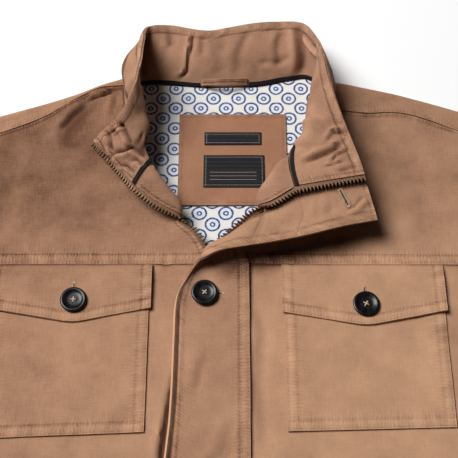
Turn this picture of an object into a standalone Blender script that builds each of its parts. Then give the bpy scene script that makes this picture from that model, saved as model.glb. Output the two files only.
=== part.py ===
"""A men's stand-collar cotton parka, laid flat on its back with the neck of its front opened out.

Design frame, in millimetres: X to the viewer's right and 0 on the front's centre line, Y from hem to
collar and 0 on the yoke seam, Z up from the surface that the back lies on. The finished solids are
moved so that the bottom centre of their box is the origin.
Left and right are the viewer's.
"""
import math

import bmesh
import bpy
import numpy as np
from mathutils import Matrix, Vector
from mathutils.bvhtree import BVHTree

MM = 0.001

# ---- Cloth and gaps -------------------------------------------------------------------------------
CLOTH = 1.2            # one layer of washed cotton with its seam allowances
DOUBLE = 2.0           # the storm flap: two layers and an interlining
FLAP = 1.7             # a pocket flap
THIN = 1.0             # lining, tape and labels
GAP = 0.3              # air between pieces that are sewn or lie together
STEP = CLOTH + GAP     # from one layer's middle to the next one's

# ---- Body -----------------------------------------------------------------------------------------
HEM_Y = -595.0
HEM_X = 284.0
UNDERARM = (284.0, -78.0)
BACK_Z = CLOTH / 2
ZIP_X = -2.0           # the closed zip's centre line
TAPE_WIDTH = 5.0       # from the front's folded edge to the teeth
TAPE_REACH = (2.1, 4.3)       # the tape's columns, counted from the teeth's middle
TEETH_REACH = (0.2, 1.5)          # and the teeth's
TEETH_THICK = 2.6
SLIDER = (8.4, 13.0, 1.6)
SLIDER_Y = -8.0
TAPE_OFF = 0.95        # between the neck tape and the collar
TAPE_HEIGHTS = (0.012, 0.075)          # the neck tape's edges, as shares of the collar's height
NECK_X = (-86.0, 98.0)
NECK_MARGIN = 1.5      # the back runs this far under the collar's foot
WRAP_FROM = 7.0        # the back leaves the surface this far short of a shoulder's fold
SHOULDER_SEAM = 0.8
BACK_IN = 1.4          # the back's armhole edge is this far inside the front's
LINING_OUTLINE = [(-100, 150), (-100, 40), (-60, -10), (60, -10), (108, 40), (108, 150)]

# ---- Pockets, buttons, labels ---------------------------------------------------------------------
POCKET_TOP_Y = -14.0
FLAP_SPARE = 2.0       # a pocket flap is this much wider than its bag at each side
BUTTON_R = 12.6
BUTTON_THICK = 3.4
BUTTON_SIDES = 14
BUTTON_PROFILE = ((8.5, 0.0), (BUTTON_R - 0.4, 1.2), (BUTTON_R, 2.2), (BUTTON_R - 1.6, BUTTON_THICK),
                  (BUTTON_R - 4.4, 2.4), (5.0, 1.9))
HOLE_R = 1.05
HOLE_OUT = 2.1
PLACKET_BUTTON_X = -10.5
PLACKET_BUTTONS_Y = (-31.0, -196.0, -361.0, -526.0)
PATCH = dict(x=(-37.0, 66.0), y=(61.5, 163.0))
UPPER_LABEL = dict(x=(-12.5, 42.0), y=(127.5, 141.5))
LOWER_LABEL = dict(x=(-13.0, 44.5), y=(80.5, 115.5))
LOOP_ENDS_X = (-17.5, 30.5)
LOOP_HEIGHTS = (0.03, 0.12)
LOOP_BOW = 4.0
LOOP_RISE = 1.5
LOOP_ROWS = 9
LOOP_SPARE = 0.002     # the loop's ends are this share of the collar from the neck tapes'
LINING_EASE = 0.4      # between the lining's edge and the collar's wall
WRAP_ROWS = 8          # down a shoulder's wrap
NECK_COLUMNS = 9       # across the back's neck edge
RAY_FROM = 200.0       # higher than anything a button can sit on

# ---- Tables of sections ---------------------------------------------------------------------------
# Each front above the yoke seam: a row is a line of cloth from the armhole to the opening.
# side: at the armhole; chest, rise: on the way; under, crest: where the front turns out, below the
# roll and on it; end: on the zip's teeth up to the neck's corner, then along the neck seam.
# seam: how far the wall stops short of the neck seam, more where the seam itself is folded.
FRONT_COLUMNS = ("end", "crest", "under", "rise", "chest", "side")
RIGHT_YOKE = [
    dict(end=(-2, 0, 6.2), crest=(34, 0, 6.1), under=(56, 0, 5.7),
         rise=(80, 0, 5.4), chest=(150, 0, 5), side=(262, 0, 2.4)),
    dict(end=(-4, 15, 10.6), crest=(28, 13, 9.3), under=(52, 12, 7.6),
         rise=(80, 11, 6.4), chest=(150, 12, 5.2), side=(259, 14, 2.4)),
    dict(end=(12, 28, 20), crest=(30, 25, 15), under=(54, 21, 10.8),
         rise=(82, 20, 8.5), chest=(150, 24, 5.6), side=(256, 28, 2.4)),
    dict(end=(33, 43, 29), crest=(40, 39, 21.5), under=(58, 33, 15),
         rise=(88, 30, 10), chest=(150, 36, 6.2), side=(253, 42, 2.4)),
    dict(end=(50, 46, 33), crest=(38, 57, 30), under=(51, 54, 21),
         rise=(92, 44, 12), chest=(150, 46, 6.6), side=(250, 55, 2.4)),
    dict(end=(71, 59, 36), crest=(50, 75, 34), under=(62, 70, 24),
         rise=(100, 60, 13), chest=(150, 55, 7), side=(248, 66, 2.4), seam=1.2),
    dict(end=(66, 83, 37), crest=(59, 90, 34.5), under=(71, 86, 26),
         rise=(104, 80, 14.5), chest=(152, 68, 7.5), side=(246, 78, 2.4), seam=4.2),
    dict(end=(70, 104, 34), crest=(78, 102, 31), under=(89, 100, 25),
         rise=(110, 95, 16), chest=(153, 84, 8), side=(244, 90, 2.4), seam=3.4),
    dict(end=(86, 118, 25), crest=(93, 117, 22.5), under=(104, 115, 18),
         rise=(123, 112, 14), chest=(155, 104, 9), side=(243, 102, 2.4), seam=0.8),
    dict(end=(99, 137, 16), crest=(108, 137, 14.5), under=(117, 136, 13.5),
         rise=(132, 134, 12), chest=(160, 128, 9), side=(242, 118, 2.4), seam=0.5),
    dict(end=(105, 166, 11), crest=(114, 162, 12), under=(124, 160, 12.3),
         rise=(142, 158, 12), chest=(172, 161, 8.5), side=(240, 141, 2.7), seam=0.5),
]
LEFT_YOKE = [
    dict(end=(-2, 0, 6.2), crest=(-36, 0, 5.4), under=(-58, 0, 5.2),
         rise=(-80, 0, 5.1), chest=(-150, 0, 5), side=(-262, 0, 2.4)),
    dict(end=(-8, 15, 10.6), crest=(-34, 13, 8), under=(-56, 12, 6.6),
         rise=(-80, 11, 5.7), chest=(-150, 12, 5.2), side=(-259, 14, 2.4)),
    dict(end=(-20, 31, 17), crest=(-38, 25, 12.5), under=(-58, 22, 9),
         rise=(-82, 20, 7), chest=(-150, 24, 5.4), side=(-256, 28, 2.4)),
    dict(end=(-41, 40, 22), crest=(-33, 50, 20.5), under=(-46, 45, 14),
         rise=(-88, 33, 8), chest=(-150, 36, 5.6), side=(-253, 42, 2.4)),
    dict(end=(-59, 50, 24.5), crest=(-45, 66, 26), under=(-59, 61, 17.5),
         rise=(-94, 47, 9), chest=(-150, 44, 5.8), side=(-250, 52, 2.4)),
    dict(end=(-76, 64, 26), crest=(-56, 80, 30), under=(-69, 77, 20.5),
         rise=(-104, 62, 9.5), chest=(-150, 52, 6), side=(-248, 62, 2.4), seam=1.4),
    dict(end=(-68, 79, 30), crest=(-60, 87, 31), under=(-72, 84, 22.5),
         rise=(-106, 76, 10), chest=(-150, 66, 6.4), side=(-246, 72, 2.4), seam=1.6),
    dict(end=(-61.5, 90, 31.5), crest=(-70, 91, 28.5), under=(-82, 91, 22),
         rise=(-110, 90, 10.5), chest=(-150, 84, 7), side=(-245, 84, 2.4), seam=4.4),
    dict(end=(-69, 98, 29.5), crest=(-77, 98.5, 26), under=(-88, 99, 20),
         rise=(-113, 100, 10.8), chest=(-151, 94, 7.2), side=(-244.5, 91, 2.4), seam=1.4),
    dict(end=(-79, 107, 25), crest=(-86, 107, 22), under=(-96, 108, 17),
         rise=(-116, 110, 11), chest=(-152, 104, 7.5), side=(-244, 98, 2.4), seam=1.2),
    dict(end=(-88, 140, 17), crest=(-96, 141, 15.5), under=(-105, 141, 14),
         rise=(-122, 141, 12), chest=(-155, 130, 8), side=(-242, 114, 2.4), seam=0.6),
    dict(end=(-89.5, 168, 13.5), crest=(-97, 168, 13.6), under=(-107, 168, 13.5),
         rise=(-124, 163, 12), chest=(-160, 146, 8), side=(-240, 122, 2.5), seam=0.5),
    dict(end=(-92, 192, 10.5), crest=(-100, 190, 12), under=(-112, 188, 13),
         rise=(-132, 178.5, 12), chest=(-165, 158.5, 7.5), side=(-238, 130.5, 2.7), seam=0.5),
]
ZIP_ROWS = 6           # the first rows of each table end on the zip's teeth

# The collar, from its left front end round the back to its right one. base lies on the neck seam,
# middle half-way up the stand, top on the folded edge; seam as above.
COLLAR_COLUMNS = ("base", "middle", "top")
COLLAR = [
    dict(base=(-76, 64, 26), middle=(-99, 95, 22), top=(-118.5, 121, 16), seam=1.4),
    dict(base=(-68, 79, 30), middle=(-90, 109, 31), top=(-108, 129, 25), seam=1.6),
    dict(base=(-61.5, 90, 31.5), middle=(-76, 115, 37), top=(-97, 131, 38), seam=2.9),
    dict(base=(-69, 98, 29.5), middle=(-68, 121, 38), top=(-87, 137, 51), seam=1.4),
    dict(base=(-79, 107, 25), middle=(-65, 130, 36), top=(-80, 149, 59), seam=1.0),
    dict(base=(-88, 140, 17), middle=(-71, 150, 36), top=(-75.5, 163, 63), seam=0.9),
    dict(base=(-89.5, 168, 13.5), middle=(-81, 175, 39), top=(-72, 186, 64), seam=0.9),
    dict(base=(-89.5, 189, 8), middle=(-91.5, 200, 34), top=(-71, 214, 54), seam=0.9),
    dict(base=(-76, 199, 2.2), middle=(-77, 218, 24), top=(-69.5, 242.5, 38), seam=0.9),
    dict(base=(-53, 200, 2.0), middle=(-51, 222, 19.5), top=(-48, 250, 31), seam=0.9),
    dict(base=(-18, 197, 2.0), middle=(-16, 217, 19.5), top=(-12, 243.5, 31), seam=0.9),
    dict(base=(7, 197, 2.0), middle=(9, 219, 19.5), top=(12, 247.5, 31), seam=0.9),
    dict(base=(39, 198, 2.0), middle=(38, 222, 19.5), top=(38, 253, 31), seam=0.9),
    dict(base=(66, 204, 2.0), middle=(64, 226, 19.5), top=(62, 254.5, 31), seam=0.9),
    dict(base=(90, 207, 2.2), middle=(87, 226, 23), top=(83.5, 249, 36), seam=0.9),
    dict(base=(102, 192, 7), middle=(99, 204, 32), top=(94.5, 220.5, 52), seam=0.9),
    dict(base=(105, 166, 11), middle=(93, 178, 35), top=(100, 190, 64), seam=0.9),
    dict(base=(99, 137, 16), middle=(86, 150, 34), top=(104.5, 163, 61), seam=0.9),
    dict(base=(86, 118, 25), middle=(86, 128, 38), top=(110, 141, 58), seam=1.1),
    dict(base=(70, 104, 34), middle=(95, 106, 43), top=(119, 112, 53), seam=1.4),
    dict(base=(66, 83, 37), middle=(98, 86, 43), top=(127, 91, 47), seam=1.4),
    dict(base=(71, 59, 36), middle=(102, 67, 40.5), top=(132.5, 74, 44), seam=1.2),
]

# The storm flap: along it, where its free edge runs. at: which line of cloth, counted as (stretch,
# share of it); lift: how far its middle stands off the front; root: its width inside the zip.
FLAP_ROWS = [
    dict(at=("front", 0.00), edge=(-37, HEM_Y, 8.8), lift=2.3, root=31),
    dict(at=("front", 0.35), edge=(-38, -390, 8.8), lift=2.3, root=31),
    dict(at=("front", 0.68), edge=(-39, -193, 8.8), lift=2.3, root=31),
    dict(at=("front", 0.80), edge=(-36, -121, 8.8), lift=2.3, root=31),
    dict(at=("front", 0.91), edge=(-35, -57, 8.9), lift=2.4, root=31),
    dict(at=("front", 0.96), edge=(-34, -31, 9.8), lift=3.4, root=31),
    dict(at=("yoke", 0.00), edge=(-25, -14.5, 15.5), lift=3.7, root=31),
    dict(at=("yoke", 0.20), edge=(-12, -4.5, 24), lift=3.3, root=29),
    dict(at=("yoke", 0.40), edge=(3, 2, 29), lift=2.9, root=22),
    dict(at=("yoke", 0.60), edge=(22, 5, 31), lift=3.2, root=11),
    dict(at=("yoke", 0.80), edge=(44, 8.5, 31), lift=2.7, root=9),
    dict(at=("yoke", 1.00), edge=(67, 13, 31), lift=2.8, root=10),
    dict(at=("collar", 0.33), edge=(90, 18.5, 31.5), lift=2.3, root=14),
    dict(at=("collar", 0.66), edge=(115, 26, 32), lift=2.3, root=17),
    dict(at=("collar", 1.00), edge=(140, 33, 32), lift=2.3, root=17),
]

# The back's shoulders, which wrap over to the fronts' forward seam: where each is folded, in y and z.
SHOULDERS = dict(
    left=[
        dict(x=-93, fold_y=202, fold_z=11),
        dict(x=-114, fold_y=193, fold_z=12.5),
        dict(x=-133, fold_y=184, fold_z=12),
        dict(x=-165, fold_y=174, fold_z=8.5),
        dict(x=-200, fold_y=164, fold_z=5.5),
        dict(x=-238, fold_y=152, fold_z=3.2),
    ],
    right=[
        dict(x=106, fold_y=198, fold_z=11),
        dict(x=122, fold_y=195, fold_z=12.5),
        dict(x=140, fold_y=191, fold_z=11.5),
        dict(x=172, fold_y=185, fold_z=8.5),
        dict(x=205, fold_y=176, fold_z=5.5),
        dict(x=240, fold_y=165, fold_z=3.2),
    ],
)

# Chest pockets: the bag's inner and outer edge, its foot at each, and its flap's lower edge.
POCKETS = dict(
    left=dict(inner=-59.5, outer=-200.0, foot_in=-155.5, foot_out=-161.0, flap_in=-44.5,
              flap_point=-58.5, flap_out=-44.5, button=(-125.5, -37.5)),
    right=dict(inner=60.0, outer=200.5, foot_in=-155.0, foot_out=-151.0, flap_in=-48.5,
               flap_point=-61.5, flap_out=-47.0, button=(131.0, -41.5)),
)

SLEEVE_LENGTH = 640.0
SLEEVE_LEAN = math.radians(34)
CUFF_WIDE = 135.0
CUFF_SHIFT = 0.08      # how far the cuff stands out past the shoulder's line, as a share of its width
SLEEVE_ROWS = 3
SLEEVE_THICK = 3.0     # two layers and the air between them
ARM_GAP = 0.5          # between the body's armhole and the sleeve
SHOULDER_OVER = 20.0   # from the forward shoulder seam up to the sleeve's fold

COLOURS = dict(
    shell=(0.46, 0.25, 0.14), lining=(0.86, 0.86, 0.86), tape=(0.01, 0.01, 0.013),
    tape_tan=(0.3, 0.16, 0.09),
    label=(0.01, 0.01, 0.013), brass=(0.22, 0.14, 0.07), horn=(0.02, 0.018, 0.02),
)
ROUGHNESS = dict(shell=0.9, lining=0.8, tape=0.7, tape_tan=0.8, label=0.6, brass=0.4, horn=0.3)
METALLIC = dict(brass=1.0)
SHARP = math.radians(35)


# ---- Curves and grids -----------------------------------------------------------------------------
NORMAL_PASSES = 3      # how often a cloth's normals are averaged with their neighbours
DENSE = 24             # points between two of a line's own points while it is measured


def along(points):
    """Distance from the first point to each point of a line."""
    steps = np.linalg.norm(np.diff(points, axis=0), axis=1)
    return np.concatenate([[0.0], np.cumsum(steps)])


def hermite(knots, values, slopes, where, arriving=None):
    """Values between knots; arriving: the slopes at each stretch's far end, if they differ."""
    arriving = slopes if arriving is None else arriving
    i = np.clip(np.searchsorted(knots, where, side="right") - 1, 0, len(knots) - 2)
    wide = knots[i + 1] - knots[i]
    s = (where - knots[i]) / wide
    shape = (-1,) + (1,) * (values.ndim - 1)
    s, wide = s.reshape(shape), wide.reshape(shape)
    return ((1 + 2 * s) * (1 - s) ** 2 * values[i] + s * (1 - s) ** 2 * wide * slopes[i]
            + s * s * (3 - 2 * s) * values[i + 1] + s * s * (s - 1) * wide * arriving[i + 1])


def smooth(knots, values, where):
    """Values at `where` on a smooth line through `values`, which belong to `knots`."""
    knots, values, where = (np.asarray(a, float) for a in (knots, values, where))
    return hermite(knots, values, np.gradient(values, knots, axis=0), where)


def table_rows(table, columns, shares, corner=None):
    """Lines through a table's columns, at shares, 0 to 1, of the way through its rows.

    corner: the row at which the first column turns a sharp corner, if it has one.
    """
    values = np.array([[row[name] for name in columns] for row in table], float)
    knots = np.linspace(0, 1, len(table))
    slopes = np.gradient(values, knots, axis=0)
    arriving = slopes.copy()
    if corner is not None:
        arriving[corner, 0] = (values[corner, 0] - values[corner - 1, 0]) / knots[1]
        slopes[corner, 0] = (values[corner + 1, 0] - values[corner, 0]) / knots[1]
    return hermite(knots, values, slopes, np.asarray(shares, float), arriving)


class Line:
    """A rounded line through points, read at distances from its first point."""

    def __init__(self, points):
        points = np.asarray(points, float)
        knots = along(points)
        slopes = np.gradient(points, knots, axis=0)
        slopes /= np.linalg.norm(slopes, axis=1, keepdims=True)
        where = np.linspace(0, len(points) - 1, DENSE * (len(points) - 1) + 1)
        self.points = hermite(knots, points, slopes, np.interp(where, range(len(points)), knots))
        self.reach = along(self.points)
        self.marks = self.reach[::DENSE]      # distance to each of the points given

    def at(self, distances):
        return np.stack([np.interp(distances, self.reach, self.points[:, k]) for k in range(3)], axis=1)


def eased(values, axis):
    """Each value averaged with its neighbours along one axis."""
    ends = [(1, 1) if k == axis else (0, 0) for k in range(3)]
    wide = np.moveaxis(np.pad(values, ends, mode="edge"), axis, 0)
    return np.moveaxis((wide[:-2] + 2 * wide[1:-1] + wide[2:]) / 4, 0, axis)


class Cloth:
    """A grid of points with a unit normal at each, which points to the garment's inside."""

    def __init__(self, points, inward=None):
        self.points = np.asarray(points, float)
        self.inward = inward
        if inward is None:
            across, along_it = np.gradient(self.points, axis=0), np.gradient(self.points, axis=1)
            self.inward = np.cross(across, along_it)
            self.inward /= np.linalg.norm(self.inward, axis=2, keepdims=True)
            for axis in (0, 1) * NORMAL_PASSES:
                self.inward = eased(self.inward, axis)
        self.inward = self.inward / np.linalg.norm(self.inward, axis=2, keepdims=True)

    def moved(self, distance):
        """The same cloth moved inwards, by one distance or by one for each row."""
        return Cloth(self.points + self.inward * np.asarray(distance, float).reshape(-1, 1, 1), self.inward)

    def flipped(self, sign):
        return Cloth(self.points, self.inward * sign)

    def part(self, rows=slice(None), columns=slice(None)):
        return Cloth(self.points[rows, columns], self.inward[rows, columns])


def joined(cloths):
    """Cloths with the same columns, one after another."""
    return Cloth(np.concatenate([c.points for c in cloths]), np.concatenate([c.inward for c in cloths]))


# ---- Objects --------------------------------------------------------------------------------------
for old in list(bpy.data.objects):
    bpy.data.objects.remove(old, do_unlink=True)


def material(name):
    made = bpy.data.materials.get(name)
    if made:
        return made
    made = bpy.data.materials.new(name)
    made.use_nodes = True
    shader = made.node_tree.nodes["Principled BSDF"]
    shader.inputs["Base Color"].default_value = (*COLOURS[name], 1)
    shader.inputs["Roughness"].default_value = ROUGHNESS[name]
    shader.inputs["Metallic"].default_value = METALLIC.get(name, 0.0)
    return made


def add_object(name, bm, finish):
    """An object in metres from a bmesh in design millimetres."""
    bmesh.ops.scale(bm, vec=(MM, MM, MM), verts=bm.verts)
    mesh = bpy.data.meshes.new(name)
    bm.to_mesh(mesh)
    bm.free()
    mesh.materials.append(material(finish))
    mesh.shade_smooth()
    mesh.set_sharp_from_angle(angle=SHARP)
    made = bpy.data.objects.new(name, mesh)
    bpy.context.scene.collection.objects.link(made)
    return made


def add_grid(bm, near, far, closed=False):
    """Faces between two lines of corners."""
    pairs = list(zip(near, near[1:] + near[:1] if closed else near[1:],
                     far[1:] + far[:1] if closed else far[1:], far))
    for a, b, c, d in pairs:
        bm.faces.new((a, b, c))
        bm.faces.new((a, c, d))


def wall(name, cloth, thickness, finish="shell"):
    """A wall with the cloth as its middle: two skins, each half a thickness off, and a rim."""
    bm = bmesh.new()
    skins = []
    for way in (-0.5, 0.5):
        skins.append([[bm.verts.new(p) for p in line] for line in cloth.moved(way * thickness).points])
        for near, far in zip(skins[-1], skins[-1][1:]):
            add_grid(bm, near, far)
    for rim in (lambda s: s[0], lambda s: s[-1], lambda s: [r[0] for r in s], lambda s: [r[-1] for r in s]):
        add_grid(bm, rim(skins[0]), rim(skins[1]))
    bmesh.ops.recalc_face_normals(bm, faces=bm.faces)
    return add_object(name, bm, finish)


def sheet(name, grids, thickness, finish="shell"):
    """A cloth wall of several grids that join where their points coincide."""
    bm = bmesh.new()
    for grid in grids:
        rows = [[bm.verts.new(p) for p in line] for line in grid]
        for near, far in zip(rows, rows[1:]):
            add_grid(bm, near, far)
    bmesh.ops.remove_doubles(bm, verts=bm.verts, dist=0.01)
    bmesh.ops.recalc_face_normals(bm, faces=bm.faces)
    made = add_object(name, bm, finish)
    solid = made.modifiers.new("thickness", "SOLIDIFY")
    solid.thickness = thickness * MM
    solid.offset = 0
    solid.use_even_offset = True
    return made


def slab(name, outline, low, high, finish):
    """A flat piece: an outline of (x, y) points between two heights."""
    bm = bmesh.new()
    face = bm.faces.new([bm.verts.new((x, y, low)) for x, y in outline])
    top = bmesh.ops.extrude_face_region(bm, geom=[face])["geom"]
    raised = [v for v in top if isinstance(v, bmesh.types.BMVert)]
    bmesh.ops.translate(bm, vec=(0, 0, high - low), verts=raised)
    bmesh.ops.recalc_face_normals(bm, faces=bm.faces)
    return add_object(name, bm, finish)


def box_outline(x, y):
    return [(x[0], y[0]), (x[1], y[0]), (x[1], y[1]), (x[0], y[1])]


# ---- The fronts -----------------------------------------------------------------------------------
# Columns of cloth, as (from, to, shares between): the first stretch starts where the shell ends.
STRETCHES = (
    ("end", "crest", (0.0, 0.3, 0.6, 0.82)),
    ("crest", "under", (0.0, 0.25, 0.6)),
    ("under", "rise", (0.0, 0.5)),
    ("rise", "chest", (0.0, 0.4)),
    ("chest", "side", (0.0, 0.5, 1.0)),
)
FACING_COLUMNS = 8     # from the zip, over the roll, to `under`
YOKE_ROWS = 20
FRONT_YS = np.array([HEM_Y, -340, -161, -120, UNDERARM[1], -57, -40, -24, -12, 0])
YOKES = dict(left=LEFT_YOKE, right=RIGHT_YOKE)
SIGN = dict(left=-1, right=1)


def yoke_shares(side):
    """Shares of the way up a yoke's rows, with one at the neck's corner, and that one's number."""
    corner = (ZIP_ROWS - 1) / (len(YOKES[side]) - 1)
    number = int(round(corner * (YOKE_ROWS - 1)))
    below, above = np.linspace(0, corner, number + 1), np.linspace(corner, 1, YOKE_ROWS - number)
    return np.concatenate([below, above[1:]]), number


def yoke_lines(side, shares):
    return [Line(points) for points in table_rows(YOKES[side], FRONT_COLUMNS, shares, ZIP_ROWS - 1)]


def armhole_x(y):
    """Half the body's width below the yoke seam."""
    return float(np.interp(y, (HEM_Y, UNDERARM[1], -57, -40, -24, -12, 0),
                           (HEM_X, UNDERARM[0], 273.5, 268.5, 265, 263.2, 262)))


def front_lines(side, ys):
    """Lines of cloth below the yoke seam: its own line, and as wide as the body is there."""
    lines = []
    for y in ys:
        points = np.array([YOKES[side][0][name] for name in FRONT_COLUMNS], float)
        points[-1, 0] = SIGN[side] * armhole_x(y)
        points[:, 1] = y
        lines.append(Line(points))
    return lines


def stretch_distances(line, trim):
    marks = dict(zip(FRONT_COLUMNS, line.marks))
    marks["end"] = trim
    return np.array([marks[a] + (marks[b] - marks[a]) * share
                     for a, b, shares in STRETCHES for share in shares])


def front_cloth(side, lines, distances):
    """Cloth on lines, at distances from each line's end; the normals are those of the whole front."""
    whole = Cloth([line.at(stretch_distances(line, 0.0)) for line in lines]).flipped(SIGN[side])
    points, inward = [], []
    for line, reach, normals in zip(lines, distances, whole.inward):
        known = stretch_distances(line, 0.0)
        points.append(line.at(reach))
        inward.append(np.stack([np.interp(reach, known, normals[:, k]) for k in range(3)], axis=1))
    return Cloth(points, np.array(inward))


def yoke_cloth(side):
    shares, corner = yoke_shares(side)
    lines = yoke_lines(side, shares)
    seams = [row["seam"] for row in YOKES[side][ZIP_ROWS - 1:]]
    seams = np.interp(np.linspace(0, 1, YOKE_ROWS - corner), np.linspace(0, 1, len(seams)), seams)
    trims = [TAPE_WIDTH] * (corner + 1) + list(seams[1:])
    return front_cloth(side, lines, [stretch_distances(line, trim) for line, trim in zip(lines, trims)])


def make_fronts():
    for side in ("left", "right"):
        yoke = yoke_cloth(side)
        wall(f"yoke_{side}", yoke, CLOTH)
        wall(f"facing_{side}", yoke.moved(STEP).part(columns=slice(0, FACING_COLUMNS)), CLOTH)
        lines = front_lines(side, FRONT_YS)
        front = front_cloth(side, lines, [stretch_distances(line, TAPE_WIDTH) for line in lines])
        front.points[-1, :, 1] -= GAP
        wall(f"front_{side}", front, CLOTH)


def height_on(side, x):
    """Height of a front's middle below the yoke seam."""
    points = front_lines(side, [0.0])[0].points
    order = np.argsort(points[:, 0])
    return np.interp(x, points[order, 0], points[order, 2])


# ---- The collar -----------------------------------------------------------------------------------
COLLAR_LINES = 36
COLLAR_HEIGHTS = np.array((0.0, 0.12, 0.33, 0.56, 0.8, 1.0))
DENSE_SHARES = np.linspace(0, 1, 221)


def collar_points(shares, heights):
    """Points of the collar's outer wall, at shares round it and up it."""
    seams = np.interp(shares, np.linspace(0, 1, len(COLLAR)), [row["seam"] for row in COLLAR])
    lines = [Line(points) for points in table_rows(COLLAR, COLLAR_COLUMNS, shares)]
    return np.array([line.at(seam + (line.reach[-1] - seam) * np.asarray(heights, float))
                     for line, seam in zip(lines, seams)])


def collar_cloth(shares, heights):
    """The same as cloth; its normals come from the whole collar, whatever the shares and heights."""
    whole = Cloth(collar_points(DENSE_SHARES, COLLAR_HEIGHTS)).inward
    inward = np.array([[[np.interp(share, DENSE_SHARES, whole[:, c, k]) for k in range(3)]
                        for c in range(len(COLLAR_HEIGHTS))] for share in shares])
    inward = np.array([[[np.interp(height, COLLAR_HEIGHTS, row[:, k]) for k in range(3)]
                        for height in heights] for row in inward])
    return Cloth(collar_points(shares, heights), inward)


def collar_share(distance, side):
    """Share of the way round the collar at a distance from one of its front ends."""
    reach = along(collar_points(DENSE_SHARES, (0.5,))[:, 0])
    return float(np.interp(distance if side == "left" else reach[-1] - distance, reach, DENSE_SHARES))


def share_at_x(x):
    """Share of the way round the collar where its back's foot is at x."""
    shares = np.linspace(0.35, 0.68, 60)
    foot = collar_points(shares, (0.0,))[:, 0, 0]
    return float(np.interp(x, foot, shares))


def collar_shares():
    return np.linspace(collar_share(TAPE_WIDTH, "left"), collar_share(TAPE_WIDTH, "right"), COLLAR_LINES)


def make_collar():
    outer = collar_cloth(collar_shares(), COLLAR_HEIGHTS)
    wall("collar_outer", outer, CLOTH)
    wall("collar_inner", outer.moved(STEP), CLOTH)


def make_neck_tapes_and_loop():
    off = STEP + CLOTH / 2 + TAPE_OFF + THIN / 2
    shares = collar_shares()
    stops = [share_at_x(x) for x in LOOP_ENDS_X]
    reaches = dict(left=[*shares[shares < stops[0]], stops[0]],
                   right=[stops[1], *shares[shares > stops[1]]])
    for side, reach in reaches.items():
        wall(f"neck_tape_{side}", collar_cloth(reach, TAPE_HEIGHTS).moved(off), THIN, "tape")
    bow = np.sin(np.linspace(0, math.pi, LOOP_ROWS))
    ends = (stops[0] + LOOP_SPARE, stops[1] - LOOP_SPARE)
    strip = collar_cloth(np.linspace(*ends, LOOP_ROWS), LOOP_HEIGHTS)
    strip = strip.moved(off - TAPE_OFF + GAP + LOOP_BOW * bow)
    strip.points[:, :, 2] += LOOP_RISE * bow[:, None]
    wall("hanger_loop", strip, THIN)


# ---- The zip and the storm flap -------------------------------------------------------------------
def edge_strip(side, distances):
    """Cloth along a front's edge, hem to collar top, its columns at distances from the teeth.

    Also each row's place, which counts the front as 0 to 1, the yoke 1 to 2 and the collar 2 to 3.
    """
    front_places = 1 + FRONT_YS / -HEM_Y
    shares, corner = yoke_shares(side)
    yoke_places = 1 + np.arange(1, corner + 1) / corner
    lines = front_lines(side, FRONT_YS)
    lower = front_cloth(side, lines, [distances(place) for place in front_places])
    lines = yoke_lines(side, shares)[:corner + 2]
    upper = front_cloth(side, lines, [distances(1 + k / corner) for k in range(corner + 2)])
    heights = COLLAR_HEIGHTS[1:]
    collar = []
    for height in heights:
        shares = [collar_share(d, side) for d in distances(2 + height)]
        row = collar_cloth(shares, (height,))
        collar.append(Cloth(row.points.transpose(1, 0, 2), row.inward.transpose(1, 0, 2)))
    strip = joined([lower, upper.part(rows=slice(1, corner + 1))] + collar)
    return strip, np.concatenate([front_places, yoke_places, 2 + heights])


def make_zip():
    for side in ("left", "right"):
        for name, reach, thick, finish in (("zip_tape", TAPE_REACH, THIN, "tape_tan"),
                                           ("zip_teeth", TEETH_REACH, TEETH_THICK, "brass")):
            strip = edge_strip(side, lambda place: np.array(reach))[0]
            wall(f"{name}_{side}", strip.moved(STEP / 2), thick, finish)


STRETCH_STARTS = dict(front=0, yoke=1, collar=2)
FLAP_PLACES = np.array([STRETCH_STARTS[row["at"][0]] + row["at"][1] for row in FLAP_ROWS])
FLAP_BEYOND = (1.0, 0.75, 0.5, 0.25)      # columns past the teeth, as shares of the way to the edge
FLAP_INSIDE = np.array((0, 0.4, 1.0))     # columns inside them, as shares of the root's width
FLAP_PULL = 0.45                          # how far the flap keeps the front's direction before it bends


def make_storm_flap():
    """The flap lies on the front's outside up to the teeth and curves on to its own free edge."""
    strip, places = edge_strip(
        "right",
        lambda place: np.interp(place, FLAP_PLACES, [row["root"] for row in FLAP_ROWS]) * FLAP_INSIDE)
    lift = smooth(FLAP_PLACES, [row["lift"] for row in FLAP_ROWS], places)
    on_front = strip.moved(-lift).points
    edges = smooth(FLAP_PLACES, [row["edge"] for row in FLAP_ROWS], places)
    rows = []
    for line, edge in zip(on_front, edges):
        onward = (line[0] - line[1]) / np.linalg.norm(line[0] - line[1])
        pull = line[0] + onward * np.linalg.norm(edge - line[0]) * FLAP_PULL
        beyond = [(1 - s) ** 2 * line[0] + 2 * s * (1 - s) * pull + s * s * edge for s in FLAP_BEYOND]
        rows.append(beyond + list(line))
    return wall("storm_flap", Cloth(rows), DOUBLE)


def make_slider():
    """The zip's slider, closed under the storm flap just below the opening: its upper plate."""
    bm = bmesh.new()
    low = YOKES["right"][0]["end"][2] - STEP / 2 + TEETH_THICK / 2 + GAP
    place = Matrix.Translation((ZIP_X, SLIDER_Y, low + SLIDER[2] / 2))
    bmesh.ops.create_cube(bm, size=1, matrix=place @ Matrix.Diagonal((*SLIDER, 1)))
    upright = [e for e in bm.edges if abs(e.verts[0].co.z - e.verts[1].co.z) > 0.1]
    bmesh.ops.bevel(bm, geom=upright, offset=SLIDER[2], segments=3, affect="EDGES")
    add_object("zip_slider", bm, "brass")


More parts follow.
